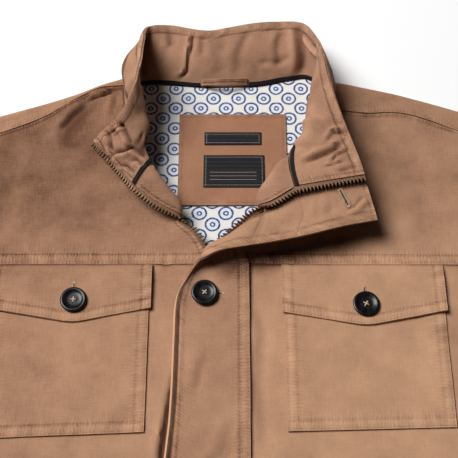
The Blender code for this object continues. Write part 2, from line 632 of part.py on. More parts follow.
# ---- The back, its lining and the labels ----------------------------------------------------------
def side_x(side, y):
    """The armhole, or the side seam below it, on one side."""
    if y <= 0:
        return SIGN[side] * armhole_x(y)
    rows = [row["side"] for row in YOKES[side]]
    return float(np.interp(y, [r[1] for r in rows], [r[0] for r in rows]))


def shoulder_folds(side):
    """x, y and z of one shoulder's fold at the columns of its front, from the viewer's left to right."""
    table = sorted(SHOULDERS[side], key=lambda row: row["x"])
    xs = np.array([row["x"] for row in table], float)
    where = np.sort(yoke_cloth(side).points[-1, :, 0])
    folds = smooth(xs, [(r["fold_y"], r["fold_z"]) for r in table], where)
    return [(x, *fold) for x, fold in zip(where, folds)]


def shoulder_path(side, x, y, z):
    """Down the wrap of one shoulder, from the flat back over the fold to the forward seam."""
    top = yoke_lines(side, [1.0])[0].points
    order = np.argsort(top[:, 0])
    seam_y, seam_z = (float(np.interp(x, top[order, 0], top[order, k])) for k in (1, 2))
    seam_y += SHOULDER_SEAM
    line = Line([(x, y - WRAP_FROM, BACK_Z), (x, y - 1.8, BACK_Z + 0.7), (x, y, z * 0.55), (x, y - 2.2, z),
                 (x, (y + seam_y) / 2 - 0.5, (z + seam_z) / 2 + 0.4), (x, seam_y, seam_z)])
    path = line.at(line.reach[-1] * np.linspace(0, 1, WRAP_ROWS))
    path[:, 2] = np.maximum(path[:, 2], BACK_Z)
    return path


def make_back():
    """One grid for the flat back and one for each shoulder that wraps over to the front."""
    folds = {side: shoulder_folds(side) for side in ("left", "right")}
    foot = collar_points(np.linspace(0.3, 0.7, 80), (0.0,))[:, 0]
    order = np.argsort(foot[:, 0])
    tops = {side: [(x, y - WRAP_FROM) for x, y, z in folds[side]] for side in folds}
    neck = [(x, float(np.interp(x, foot[order, 0], foot[order, 1])) + NECK_MARGIN)
            for x in np.linspace(*NECK_X, NECK_COLUMNS)]
    columns = []
    for x, top in tops["left"] + neck + tops["right"]:
        share = (x - tops["left"][0][0]) / (tops["right"][-1][0] - tops["left"][0][0])
        ys = list(FRONT_YS[[0, 4, 5, 6, 9]]) + [top * s for s in (0.33, 0.66, 0.85, 1.0)]
        columns.append([((1 - share) * (side_x("left", y) + BACK_IN) + share * (side_x("right", y) - BACK_IN), y, BACK_Z)
                        for y in ys])
        columns[-1][-1] = (x, top, BACK_Z)
    wraps = [[shoulder_path(side, *fold) for fold in folds[side]] for side in folds]
    sheet("back", [columns] + wraps, CLOTH)


def make_lining_and_labels():
    foot = collar_cloth(np.linspace(0.28, 0.74, 31), (0.0,)).moved(STEP + CLOTH / 2 + LINING_EASE)
    outline = [tuple(p) for p in foot.points[::-1, 0, :2]] + LINING_OUTLINE
    slab("back_lining", outline, CLOTH + GAP, CLOTH + GAP + THIN, "lining")
    low = CLOTH + 2 * GAP + THIN
    slab("label_patch", box_outline(**PATCH), low, low + THIN, "shell")
    low += THIN + GAP
    slab("label_upper", box_outline(**UPPER_LABEL), low, low + THIN, "label")
    slab("label_lower", box_outline(**LOWER_LABEL), low, low + THIN, "label")


# ---- Pockets and buttons --------------------------------------------------------------------------
FLAP_DOWN = (0.0, 0.07, 0.13, 0.19, 0.6, 1.0)    # rows of a pocket flap; it has risen over the bag by RISEN
RISEN = 0.19


def pocket_cloths(side, size):
    """Middles of a chest pocket's bag and of its pointed flap."""
    sign = SIGN[side]
    xs = np.linspace(size["inner"], size["outer"], 6)
    foot = np.interp(abs(xs), (abs(size["inner"]), abs(size["outer"])), (size["foot_in"], size["foot_out"]))
    bag = [[(x, POCKET_TOP_Y + (low - POCKET_TOP_Y) * s, height_on(side, x)) for x, low in zip(xs, foot)]
           for s in (0.0, 1.0)]
    ends = (abs(size["inner"]) - FLAP_SPARE, abs(size["button"][0]), abs(size["outer"]) + FLAP_SPARE)
    xs = sign * np.array(sorted([*np.linspace(ends[0], ends[2], 6), ends[1]]))
    low = np.interp(abs(xs), ends, (size["flap_in"], size["flap_point"], size["flap_out"]))
    flap, lifts = [], []
    for share in FLAP_DOWN:
        risen = min(1.0, share / RISEN)
        lifts.append(GAP + (CLOTH + FLAP) / 2 + STEP * risen * risen * (3 - 2 * risen))
        flap.append([(x, (y + 1.0) * share - 1.0, height_on(side, x) + lifts[-1]) for x, y in zip(xs, low)])
    return Cloth(bag).flipped(-sign).moved(-STEP), Cloth(flap)


def make_button(name, under, x, y, turn):
    """A turned four-hole button, seated on the piece it fastens: a rolled rim round a dished middle."""
    tree = BVHTree.FromPolygons([v.co / MM for v in under.data.vertices],
                                [p.vertices for p in under.data.polygons])
    ring = [(math.cos(a), math.sin(a)) for a in np.arange(BUTTON_SIDES) * math.tau / BUTTON_SIDES]
    spots = [(x + r * c, y + r * s) for r in (BUTTON_PROFILE[0][0], BUTTON_R) for c, s in ring]
    found = [tree.ray_cast(Vector((px, py, RAY_FROM)), Vector((0, 0, -1)))[0] for px, py in spots]
    found = np.array([tuple(p) for p in found if p is not None])
    flat = np.c_[found[:, :2] - (x, y), np.ones(len(found))]
    slope_x, slope_y, level = np.linalg.lstsq(flat, found[:, 2], rcond=None)[0]
    level += max(0.0, float(np.max(found[:, 2] - flat @ (slope_x, slope_y, level)))) + GAP
    up = Vector((-slope_x, -slope_y, 1)).normalized()
    tilt = up.to_track_quat("Z", "Y").to_matrix().to_4x4()
    place = Matrix.Translation((x, y, level)) @ tilt @ Matrix.Rotation(turn, 4, "Z")

    bm = bmesh.new()
    rings = [[bm.verts.new((r * c, r * s, z)) for c, s in ring] for r, z in BUTTON_PROFILE]
    for near, far in zip(rings, rings[1:]):
        add_grid(bm, near, far, closed=True)
    bm.faces.new(rings[0][::-1])
    bm.faces.new(rings[-1])
    bmesh.ops.recalc_face_normals(bm, faces=bm.faces)
    bmesh.ops.transform(bm, matrix=place, verts=bm.verts)
    made = add_object(name, bm, "horn")
    holes = bmesh.new()
    for k in range(4):
        a = math.tau * (k + 0.5) / 4
        spot = Matrix.Translation((HOLE_OUT * math.cos(a), HOLE_OUT * math.sin(a), BUTTON_THICK / 2))
        bmesh.ops.create_cone(holes, cap_ends=True, segments=6, radius1=HOLE_R, radius2=HOLE_R,
                              depth=BUTTON_THICK * 3, matrix=place @ spot)
    cutter = add_object(name + "_holes", holes, "horn")
    cutter.hide_render = True
    cutter.display_type = "WIRE"
    made.modifiers.new("holes", "BOOLEAN").object = cutter


def make_pockets():
    for side, size in POCKETS.items():
        bag, flap = pocket_cloths(side, size)
        wall(f"pocket_{side}", bag, CLOTH)
        made = wall(f"pocket_flap_{side}", flap, FLAP)
        make_button(f"pocket_button_{side}", made, *size["button"], turn=0.2 * SIGN[side])


# ---- Sleeves --------------------------------------------------------------------------------------
def make_sleeves():
    """Each sleeve is a flattened tube from the armhole down to a plain cuff, open at both ends."""
    for side, sign in SIGN.items():
        top = YOKES[side][-1]["side"]
        hole = [(abs(top[0]), top[1] + SHOULDER_OVER)]
        hole += [(abs(r["side"][0]), r["side"][1]) for r in YOKES[side][::-1]]
        hole = np.array(hole + [(armhole_x(y), y) for y in FRONT_YS[8:3:-1]]) + (ARM_GAP, 0)
        shares = along(hole) / along(hole)[-1]
        down = np.array((math.sin(SLEEVE_LEAN), -math.cos(SLEEVE_LEAN)))
        out = np.array((math.cos(SLEEVE_LEAN), math.sin(SLEEVE_LEAN)))
        cuff = hole[0] + down * SLEEVE_LENGTH + out * CUFF_WIDE * CUFF_SHIFT
        ends = cuff - out * CUFF_WIDE * shares[:, None]
        bm = bmesh.new()
        skins = []
        for inset in (0.0, CLOTH):
            rings = []
            for t in np.linspace(0, 1, SLEEVE_ROWS):
                line = hole * (1 - t) + ends * t
                step = (line[-1] - line[0]) / np.linalg.norm(line[-1] - line[0]) * inset
                line = line + step * (1 - 2 * shares[:, None])
                ring = [(*line[0], SLEEVE_THICK / 2)] + [(*p, SLEEVE_THICK - inset) for p in line[1:-1]]
                ring += [(*line[-1], SLEEVE_THICK / 2)] + [(*p, inset) for p in line[-2:0:-1]]
                rings.append([bm.verts.new((sign * x, y, z)) for x, y, z in ring])
            skins.append(rings)
            for near, far in zip(rings, rings[1:]):
                add_grid(bm, near, far, closed=True)
        for k in (0, -1):
            add_grid(bm, skins[0][k], skins[1][k], closed=True)
        bmesh.ops.recalc_face_normals(bm, faces=bm.faces)
        add_object(f"sleeve_{side}", bm, "shell")


# ---- Build ----------------------------------------------------------------------------------------
make_fronts()
make_collar()
make_neck_tapes_and_loop()
make_zip()
make_slider()
storm_flap = make_storm_flap()
for number, button_y in enumerate(PLACKET_BUTTONS_Y, start=1):
    make_button(f"placket_button_{number}", storm_flap, PLACKET_BUTTON_X, button_y, turn=0.5)
make_back()
make_lining_and_labels()
make_pockets()
make_sleeves()


def stand_on_origin():
    """Moves everything so that the bottom centre of its box is the origin, and says how far."""
    depsgraph = bpy.context.evaluated_depsgraph_get()
    corners = []
    for piece in bpy.data.objects:
        if not piece.hide_render:
            done = piece.evaluated_get(depsgraph)
            corners += [tuple(v.co) for v in done.to_mesh().vertices]
            done.to_mesh_clear()
    low, high = np.min(corners, axis=0), np.max(corners, axis=0)
    shift = Vector((-(low[0] + high[0]) / 2, -(low[1] + high[1]) / 2, -low[2]))
    for piece in bpy.data.objects:
        piece.location = shift
    return shift


SHIFT = stand_on_origin()
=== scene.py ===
# %% [markdown]
# # A stand-collar parka, laid flat with its neck open
# The CAD model gives every cut piece of this cotton parka as a plain wall of cloth. Here each piece is
# made again as a fine shell on the same form, with its creases, puckered seams and stitches, and the
# zip, buttons, tapes and labels get their real detail. Sizes are in millimetres in the tailor's frame:
# X to the viewer's right from the front's centre line, Y up the body from the yoke seam, Z up from the
# table. Left and right are the viewer's.

# %% Load the frame
import math

import bpy
import numpy as np
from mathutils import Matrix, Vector
from mathutils.bvhtree import BVHTree


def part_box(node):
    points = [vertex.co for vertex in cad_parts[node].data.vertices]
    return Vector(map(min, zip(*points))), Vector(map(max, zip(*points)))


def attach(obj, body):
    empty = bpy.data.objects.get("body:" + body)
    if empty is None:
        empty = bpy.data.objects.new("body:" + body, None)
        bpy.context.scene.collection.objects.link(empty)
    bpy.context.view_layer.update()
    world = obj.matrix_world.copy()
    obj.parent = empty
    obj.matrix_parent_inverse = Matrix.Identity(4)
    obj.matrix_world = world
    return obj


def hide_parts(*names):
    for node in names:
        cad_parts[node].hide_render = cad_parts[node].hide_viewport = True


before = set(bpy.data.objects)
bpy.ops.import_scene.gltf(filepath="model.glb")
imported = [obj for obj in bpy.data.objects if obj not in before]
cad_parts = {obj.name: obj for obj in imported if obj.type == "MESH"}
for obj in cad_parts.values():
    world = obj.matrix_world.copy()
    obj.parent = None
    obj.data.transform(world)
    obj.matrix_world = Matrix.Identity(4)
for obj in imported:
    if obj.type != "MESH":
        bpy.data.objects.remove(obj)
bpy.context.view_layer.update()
MM = 0.001
HEM_X, HEM_Y = 284.0, -595.0
PLACE = np.array((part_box("front_left")[0].x / MM + HEM_X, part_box("back")[0].y / MM - HEM_Y, 0.0))
print("tailor's frame stands at", PLACE.round(2), "mm;", len(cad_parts), "CAD nodes")


# %% Steps that Blender repeats
def pick(*objects):
    """Selects these objects only; the first one is the active one."""
    bpy.ops.object.select_all(action="DESELECT")
    for each in objects:
        each.select_set(True)
    if objects:
        bpy.context.view_layer.objects.active = objects[0]


def joined(parts, name):
    """Several objects as one, under a name."""
    pick(*parts)
    if len(parts) > 1:
        bpy.ops.object.join()
    parts[0].name = parts[0].data.name = name
    return parts[0]


def edit_all():
    """Opens the active object in edit mode, with everything in it selected."""
    bpy.ops.object.mode_set(mode="EDIT")
    bpy.ops.mesh.select_all(action="SELECT")


def shape_of(model):
    """Corners and faces of an object that was modelled only to be copied; the object itself is removed."""
    shape = np.array([v.co for v in model.data.vertices])
    faces = [tuple(p.vertices) for p in model.data.polygons]
    bpy.data.objects.remove(model)
    return shape, faces


# %% [markdown]
# ## Camera, light and table
# The garment is seen from its hem side, 62 degrees above the table, from just under a metre away, so the
# collar stands up towards the lens. One soft lamp at the upper left gives each fold a bright and a dark
# side. The white table throws some of that light back, and the room adds only a faint fill.

# %% Camera
VIEW_UP = math.radians(62)
VIEW_FROM = 950.0
VIEW_AT = np.array((11.0, 33.0, 11.0))
SENSOR_MM, LENS_MM = 36.0, 82.14


def to_frame(points):
    """Tailor's millimetres to metres in the CAD model's frame."""
    return (np.asarray(points, float) + PLACE) * MM


away = Vector((0, -math.cos(VIEW_UP), math.sin(VIEW_UP)))
pick()
bpy.ops.object.camera_add(location=Vector(to_frame(VIEW_AT)) + away * VIEW_FROM * MM,
                          rotation=(-away).to_track_quat("-Z", "Y").to_euler())
camera = bpy.context.object
camera.data.sensor_width = SENSOR_MM
camera.data.lens = LENS_MM
camera.data.clip_start, camera.data.clip_end = 0.05, 30.0
bpy.context.scene.camera = camera
print("camera at", [round(c, 3) for c in camera.location], "lens", round(camera.data.lens, 1), "mm")

# %% Lamp and room
LAMP_WAY = Vector((-0.51, 0.25, 0.82)).normalized()
LAMP_AT, LAMP_FAR, LAMP_SIZE, LAMP_WATTS = (10, 60, 10), 4.0, 2.0, 215.0
ROOM_FILL = 0.03
bpy.ops.object.light_add(type="AREA", location=Vector(to_frame(LAMP_AT)) + LAMP_WAY * LAMP_FAR,
                         rotation=LAMP_WAY.to_track_quat("Z", "Y").to_euler())
lamp = bpy.context.object
lamp.name = "upper_left_softbox"
lamp.data.size = LAMP_SIZE
lamp.data.energy = LAMP_WATTS
world = bpy.data.worlds.new("faint_room")
world.use_nodes = True
world.node_tree.nodes["Background"].inputs["Color"].default_value = (1.0, 1.0, 1.0, 1.0)
world.node_tree.nodes["Background"].inputs["Strength"].default_value = ROOM_FILL
bpy.context.scene.world = world
bpy.context.scene.view_settings.view_transform = "Standard"
bpy.context.scene.view_settings.look = "None"


# %% [markdown]
# ## Finishes
# Each finish is a small tree of nodes. Four helpers keep them short: one turns an ordinary screen colour
# into the linear colour that the shader wants, one turns a size into a pattern's scale, one adds a node
# with its settings and its links, and one starts a finish.

# %% Colour and node helpers
def colour(code):
    """A #RRGGBB colour as linear light."""
    parts = [int(code[k:k + 2], 16) / 255 for k in (1, 3, 5)]
    return (*(c / 12.92 if c <= 0.04045 else ((c + 0.055) / 1.055) ** 2.4 for c in parts), 1.0)


def per_metre(size_mm):
    """How many times a size goes into a metre: the scale of a pattern whose coordinates are metres."""
    return 1 / (size_mm * MM)


def add_node(tree, kind, inputs=(), **settings):
    """A shader node of one kind, with its settings and its links.

    inputs: what its sockets are given, in their order or by name: a value, a socket to be fed by, or a
    node to be fed by from its first output.
    """
    node = tree.nodes.new("ShaderNode" + kind)
    for name, value in settings.items():
        setattr(node, name, value)
    for socket, source in inputs.items() if isinstance(inputs, dict) else enumerate(inputs):
        if isinstance(source, bpy.types.Node):
            source = source.outputs[0]
        if isinstance(source, bpy.types.NodeSocket):
            tree.links.new(source, node.inputs[socket])
        else:
            node.inputs[socket].default_value = source
    return node


def new_finish(name, **values):
    """A material with a Principled shader whose sockets have these values."""
    made = bpy.data.materials.new(name)
    made.use_nodes = True
    shader = made.node_tree.nodes["Principled BSDF"]
    for socket, value in values.items():
        shader.inputs[socket.replace("_", " ")].default_value = value
    return made, made.node_tree, shader


# %% [markdown]
# ### Garment-washed cotton canvas
# The shell is a plain-woven cotton, dyed and then washed as a whole garment. The wash leaves three things
# that the eye reads as cotton: cloudy tone, slubs where a thread is thick, and seams that have gone pale
# on their high spots and stayed dark in their grooves. The last is read from a number that each piece
# carries, which is worked out from its own relief; the same number also carries painted shade and painted
# shadow, in creases, where parts meet and under the turned lapel. Threads lie 0.45 mm apart; they are
# drawn at twice that, so that they show at all. The finest puckers, one to a stitch, are bumps across each
# seam, as strong as its "pull" number says.

# %% Cotton canvas
THREAD = 0.9
PUCKER = 2.9

SHEEN = colour("#E9D3BE")


def make_cotton(name, deep, mid, pale, bump=0.35):
    """Cotton canvas between three tones of its dye; bump is how strongly its weave shows."""
    finish, tree, shader = new_finish(name, Roughness=0.88, Sheen_Weight=0.18, Sheen_Roughness=0.6,
                                      Sheen_Tint=SHEEN, Specular_IOR_Level=0.25)
    cloth = add_node(tree, "UVMap", uv_map="UVMap")
    where = add_node(tree, "TexCoord").outputs["Object"]
    warp, weft = (add_node(tree, "Mapping", {"Vector": cloth, "Scale": scale})
                  for scale in ((1.0, 0.09, 1.0), (0.09, 1.0, 1.0)))
    cloud, speck, drift, patches, *slubs = (
        add_node(tree, "TexNoise", {"Vector": place, "Scale": per_metre(size), "Detail": detail,
                                    "Roughness": rough})
        for place, size, detail, rough in (
            (where, 30.0, 3.0, 0.55), (where, 1.5, 2.0, 0.7), (cloth, 8.0, 2.0, 0.6),
            (cloth, 6.0, 1.0, 0.6), (warp, 1.1, 2.0, 0.6), (weft, 1.1, 2.0, 0.6)))
    slub = add_node(tree, "Math", slubs, operation="ADD")
    wash_and_shade, *pulls = (add_node(tree, "Attribute", attribute_name=label, attribute_type="GEOMETRY").outputs["Fac"]
                    for label in ("wash_and_shade", "pull_across", "pull_along"))
    wander = add_node(tree, "Math", (drift, 16.0), operation="MULTIPLY")
    patchy = add_node(tree, "Math", (patches, 2.6, -0.5), operation="MULTIPLY_ADD")
    parts = add_node(tree, "SeparateXYZ", (cloth,))
    puckers, weave = 0.0, 1.0
    for axis, pull in zip("XY", pulls):
        phase = add_node(tree, "Math", (parts.outputs[axis], math.tau * per_metre(PUCKER), wander),
                         operation="MULTIPLY_ADD")
        wave = add_node(tree, "Math", (phase,), operation="SINE")
        puckers = add_node(tree, "Math", (wave, pull, puckers), operation="MULTIPLY_ADD")
        turn = add_node(tree, "Math", (parts.outputs[axis], math.pi * per_metre(THREAD)),
                        operation="MULTIPLY")
        threads = add_node(tree, "Math", (turn,), operation="SINE")
        weave = add_node(tree, "Math", (threads, weave), operation="MULTIPLY")
    tick = add_node(tree, "Math", (puckers, patchy), operation="MULTIPLY")
    tone, height = -0.125, 0.0
    # The wash number moves each point's tone: its garment wash, and the painted shade and shadow it carries.
    for value, weight in ((cloud, 0.55), (slub, 0.24), (speck, 0.22), (wash_and_shade, 1.0), (tick, 0.10)):
        tone = add_node(tree, "Math", (value, weight, tone), operation="MULTIPLY_ADD")
    for value, weight in ((weave, 0.35), (slub, 1.1), (tick, 0.55)):
        height = add_node(tree, "Math", (value, weight, height), operation="MULTIPLY_ADD")
    ramp = add_node(tree, "ValToRGB", (tone,))
    ramp.color_ramp.elements[0].color = colour(deep)
    ramp.color_ramp.elements[1].color = colour(pale)
    ramp.color_ramp.elements.new(0.5).color = colour(mid)
    relief = add_node(tree, "Bump", {"Height": height, "Strength": bump, "Distance": 0.4 * MM})
    tree.links.new(ramp.outputs["Color"], shader.inputs["Base Color"])
    tree.links.new(relief.outputs["Normal"], shader.inputs["Normal"])
    return finish


washed_canvas = make_cotton("garment_washed_cotton_canvas", "#5E3A27", "#A57B5F", "#CA9D7B")
# The facing's colours are the shell's, painted a little paler to stand in for more light.
paler_lit_facing_canvas = make_cotton("unfaded_facing_cotton_canvas", "#603D2A", "#A97E63", "#CFA281", 0.25)
patch_canvas = make_cotton("label_patch_cotton_canvas", "#7C523B", "#9C6F54", "#B4876C", 0.25)
print("cotton finishes:", washed_canvas.name, paler_lit_facing_canvas.name, patch_canvas.name)

# %% [markdown]
# ### Printed lining
# The lining is thin ivory cotton, printed with blue rings round blue dots, in rows that step sideways by
# half a repeat. A ring is a distance from the nearest centre of that lattice, so two lattices, each half
# a repeat from the other, are folded into one by taking the smaller distance.

# %% Ring-and-dot print
RING_ACROSS, RING_DOWN = 24.6, 23.4
RING_OUTER, RING_LINE, DOT_OUTER, DOT_LINE = 6.4, 0.9, 1.9, 0.75
PRINT_BLUE, PRINT_GROUND, PRINT_IN_RING, PRINT_CREAM = "#243559", "#E4E0D6", "#D5DBEA", "#E2D2B2"


def make_print():
    """Ivory cotton with its rings and dots, printed a little unevenly."""
    finish, tree, shader = new_finish("ring_printed_cotton_lining", Roughness=0.85, Specular_IOR_Level=0.2)
    cloth = add_node(tree, "UVMap", uv_map="UVMap")
    jitter = add_node(tree, "TexNoise", {"Vector": cloth, "Scale": 260.0, "Detail": 1.0})
    wobble = add_node(tree, "VectorMath", (jitter.outputs["Color"], (0.0011, 0.0011, 0.0), cloth),
                      operation="MULTIPLY_ADD")
    lattices = []
    for shift in (0.0, 0.5):
        lattice = add_node(tree, "Mapping", {"Vector": wobble, "Location": (shift, shift, 0.0),
                                             "Scale": (per_metre(RING_ACROSS), per_metre(RING_DOWN), 1.0)})
        parts = add_node(tree, "SeparateXYZ", (lattice,))
        square = 0.0
        for axis, size in (("X", RING_ACROSS), ("Y", RING_DOWN)):
            share = add_node(tree, "Math", (parts.outputs[axis],), operation="FRACT")
            leg = add_node(tree, "Math", (share, size, -size / 2), operation="MULTIPLY_ADD")
            square = add_node(tree, "Math", (leg, leg, square), operation="MULTIPLY_ADD")
        lattices.append(add_node(tree, "Math", (square,), operation="SQRT"))
    far = add_node(tree, "Math", lattices, operation="MINIMUM")
    lines = []
    for radius, half in ((RING_OUTER, RING_LINE), (DOT_OUTER, DOT_LINE)):
        off = add_node(tree, "Math", (far, radius), operation="SUBTRACT")
        gap = add_node(tree, "Math", (off,), operation="ABSOLUTE")
        lines.append(add_node(tree, "MapRange", {"Value": gap, "From Min": half - 0.25,
                                                 "From Max": half + 0.25, "To Min": 1.0, "To Max": 0.0}))
    blotch, wear, slub = (
        add_node(tree, "TexNoise", {"Vector": cloth, "Scale": per_metre(size), "Detail": detail,
                                    "Roughness": 0.6})
        for size, detail in ((11.0, 1.0), (2.2, 2.0), (0.8, 2.0)))
    inside = add_node(tree, "MapRange", {"Value": far, "From Min": RING_OUTER,
                                         "From Max": RING_OUTER + 3.5})
    aged = add_node(tree, "MapRange", {"Value": blotch, "From Min": 0.58, "From Max": 0.72, "To Max": 0.6})
    cream = add_node(tree, "Math", (aged, inside), operation="MULTIPLY")
    worn = add_node(tree, "MapRange", {"Value": wear, "From Min": 0.25, "From Max": 0.55, "To Min": 0.65})
    blue = add_node(tree, "Math", lines, operation="MAXIMUM")
    ink = add_node(tree, "Math", (blue, worn), operation="MULTIPLY")
    printed = colour(PRINT_IN_RING)
    for share, code in ((inside, PRINT_GROUND), (cream, PRINT_CREAM), (ink, PRINT_BLUE)):
        printed = add_node(tree, "Mix", {0: share, 6: printed, 7: colour(code)}, data_type="RGBA").outputs[2]
    relief = add_node(tree, "Bump", {"Height": slub, "Strength": 0.15, "Distance": 0.2 * MM})
    tree.links.new(printed, shader.inputs["Base Color"])
    tree.links.new(relief.outputs["Normal"], shader.inputs["Normal"])
    return finish


ring_lining = make_print()

# %% [markdown]
# ### Tapes, labels, metal and horn
# The neck tape is black herringbone twill, the zip's tape is tan twill dyed with the shell, and the labels
# are black damask, woven so tight that they shine. The zip is bronze that has been tumbled in the wash:
# dark in its recesses, bright on its edges. The buttons are dark horn, turned, so their streaks run
# through them and their polish is low.


# %% Twill, damask, bronze, horn and thread
def make_twill(name, dark, light, rib_mm, rough):
    """Twill or damask: ribs that turn back every few threads, between two tones."""
    finish, tree, shader = new_finish(name, Roughness=rough, Specular_IOR_Level=0.3)
    cloth = add_node(tree, "UVMap", uv_map="UVMap")
    parts = add_node(tree, "SeparateXYZ", (cloth,))
    chevron = add_node(tree, "Math", (parts.outputs["Y"], 2.2 * MM), operation="PINGPONG")
    slope = add_node(tree, "Math", (parts.outputs["X"], chevron), operation="ADD")
    turn = add_node(tree, "Math", (slope, math.tau * per_metre(rib_mm)), operation="MULTIPLY")
    rib = add_node(tree, "Math", (turn,), operation="SINE")
    fibre = add_node(tree, "TexNoise", {"Vector": cloth, "Scale": per_metre(1.5), "Detail": 2.0,
                                        "Roughness": 0.6})
    ribbed = add_node(tree, "Math", (rib, 0.3), operation="MULTIPLY")
    share = add_node(tree, "Math", (fibre, 0.9, ribbed), operation="MULTIPLY_ADD")
    tone = add_node(tree, "Mix", {0: share, 6: colour(dark), 7: colour(light)}, data_type="RGBA")
    relief = add_node(tree, "Bump", {"Height": rib, "Strength": 0.35, "Distance": 0.2 * MM})
    tree.links.new(tone.outputs[2], shader.inputs["Base Color"])
    tree.links.new(relief.outputs["Normal"], shader.inputs["Normal"])
    return finish


def make_bronze():
    """Old bronze: dark in its hollows and worn bright on its edges."""
    finish, tree, shader = new_finish("tumbled_antique_bronze", Metallic=0.6, Roughness=0.5)
    edge = add_node(tree, "NewGeometry").outputs["Pointiness"]
    bright = add_node(tree, "MapRange", {"Value": edge, "From Min": 0.47, "From Max": 0.56})
    where = add_node(tree, "TexCoord").outputs["Object"]
    patch = add_node(tree, "TexNoise", {"Vector": where, "Scale": per_metre(2.0), "Detail": 2.0,
                                        "Roughness": 0.6})
    both = add_node(tree, "Math", (bright, patch), operation="ADD")
    share = add_node(tree, "Math", (both, 0.7), operation="MULTIPLY")
    tone = add_node(tree, "Mix", {0: share, 6: colour("#1A110B"), 7: colour("#765C45")}, data_type="RGBA")
    tree.links.new(tone.outputs[2], shader.inputs["Base Color"])
    return finish


def make_horn():
    """Dark horn with streaks through it and fine scratches in its polish."""
    finish, tree, shader = new_finish("turned_dark_horn", Roughness=0.3, IOR=1.5, Specular_IOR_Level=0.3)
    where = add_node(tree, "TexCoord").outputs["Object"]
    grain = add_node(tree, "Mapping", {"Vector": where, "Scale": (1.0, 0.25, 0.25),
                                       "Rotation": (0.0, 0.0, 0.6)})
    streak, scratch = (
        add_node(tree, "TexNoise", {"Vector": place, "Scale": per_metre(size), "Detail": detail,
                                    "Roughness": 0.7})
        for place, size, detail in ((grain, 3.0, 4.0), (where, 0.8, 3.0)))
    ramp = add_node(tree, "ValToRGB", (streak,))
    for element, place, code in zip(ramp.color_ramp.elements, (0.38, 0.72), ("#060607", "#1F1B1C")):
        element.position, element.color = place, colour(code)
    relief = add_node(tree, "Bump", {"Height": scratch, "Strength": 0.12, "Distance": 0.2 * MM})
    tree.links.new(ramp.outputs["Color"], shader.inputs["Base Color"])
    tree.links.new(relief.outputs["Normal"], shader.inputs["Normal"])
    return finish


def make_thread(name, dark, light):
    """Spun polyester sewing thread; its two plies wind once every 0.8 mm."""
    finish, tree, shader = new_finish(name, Roughness=0.6)
    where = add_node(tree, "TexCoord").outputs["Object"]
    ply = add_node(tree, "TexNoise", {"Vector": where, "Scale": per_metre(0.8), "Detail": 1.0,
                                      "Roughness": 0.6})
    tone = add_node(tree, "Mix", {0: ply, 6: colour(dark), 7: colour(light)}, data_type="RGBA")
    tree.links.new(tone.outputs[2], shader.inputs["Base Color"])
    return finish


neck_twill = make_twill("black_herringbone_twill_tape", "#060608", "#17171C", 0.9, 0.8)
zip_twill = make_twill("tan_dyed_zip_twill_tape", "#6B4B36", "#A37B5F", 0.8, 0.85)
label_damask = make_twill("black_woven_damask_label", "#090A0F", "#191A22", 0.3, 0.65)
bronze = make_bronze()
horn = make_horn()
tan_thread = make_thread("tan_spun_sewing_thread", "#8F6A4F", "#CBA385")
dark_thread = make_thread("black_spun_sewing_thread", "#0A0A0C", "#2A2A30")
grey_thread = make_thread("undyed_button_thread", "#A48C78", "#D8C6B6")
hole_thread = make_thread("pale_buttonhole_thread", "#A88466", "#DCC0A2")
print("finishes:", len(bpy.data.materials))

# %% [markdown]
# ## The forms that the cloth follows
# The same short tables that shape the CAD walls shape the fine shells, so a shell lies on its own solid.
# Only the corner of the turned-out lapel and of the flap is let out, by up to 8 mm, where the cloth has
# eased. A row of a front's table is one line of cloth, from the zip or the neck seam at `end`, over the
# turned roll at `crest`, to the armhole at `side`. A row of the collar's table is one line up the stand,
# from the neck seam at `base` to the folded edge at `top`. A row of the flap's table is one line across
# the flap: `place` is where it is, `edge` its free edge, `lift` its height over the front, and `root` its
# width on the front. A row of the shoulders' table is x, then the fold's y and z.


# %% Cloth and tables
def as_rows(columns, rows):
    """A table's rows, each with its columns' names; a row may leave out its last cells."""
    return [dict(zip(columns, row)) for row in rows]


CLOTH, DOUBLE, FLAP, THIN = 1.2, 2.0, 1.7, 1.0
GAP = 0.3
STEP = CLOTH + GAP
BACK_Z = CLOTH / 2
UNDERARM_Y = -78.0
TAPE_WIDTH = 5.0
FRONT_COLUMNS = ("end", "crest", "under", "rise", "chest", "side")
RIGHT_YOKE = as_rows(FRONT_COLUMNS, (
    ((-2, 0, 6.2), (34, 0, 6.1), (56, 0, 5.7), (80, 0, 5.4), (150, 0, 5), (262, 0, 2.4)),
    ((-4, 15, 10.6), (28, 13, 9.3), (52, 12, 7.6), (80, 11, 6.4), (150, 12, 5.2), (259, 14, 2.4)),
    ((12, 28, 20), (30, 25, 15), (54, 21, 10.8), (82, 20, 8.5), (150, 24, 5.6), (256, 28, 2.4)),
    ((33, 43, 29), (40, 39, 21.5), (58, 33, 15), (88, 30, 10), (150, 36, 6.2), (253, 42, 2.4)),
    ((50, 44.5, 33), (38, 57, 30), (51, 54, 21), (92, 44, 12), (150, 46, 6.6), (250, 55, 2.4)),
    ((71, 56.5, 36), (50, 75, 34), (62, 70, 24), (100, 60, 13), (150, 55, 7), (248, 66, 2.4)),
    ((66, 83, 37), (59, 90, 34.5), (71, 86, 26), (104, 80, 14.5), (152, 68, 7.5), (246, 78, 2.4)),
    ((70, 104, 34), (78, 102, 31), (89, 100, 25), (110, 95, 16), (153, 84, 8), (244, 90, 2.4)),
    ((86, 118, 25), (93, 117, 22.5), (104, 115, 18), (123, 112, 14), (155, 104, 9), (243, 102, 2.4)),
    ((99, 137, 16), (108, 137, 14.5), (117, 136, 13.5), (132, 134, 12), (160, 128, 9), (242, 118, 2.4)),
    ((105, 166, 11), (114, 162, 12), (124, 160, 12.3), (142, 158, 12), (172, 161, 8.5), (240, 141, 2.7)),
))
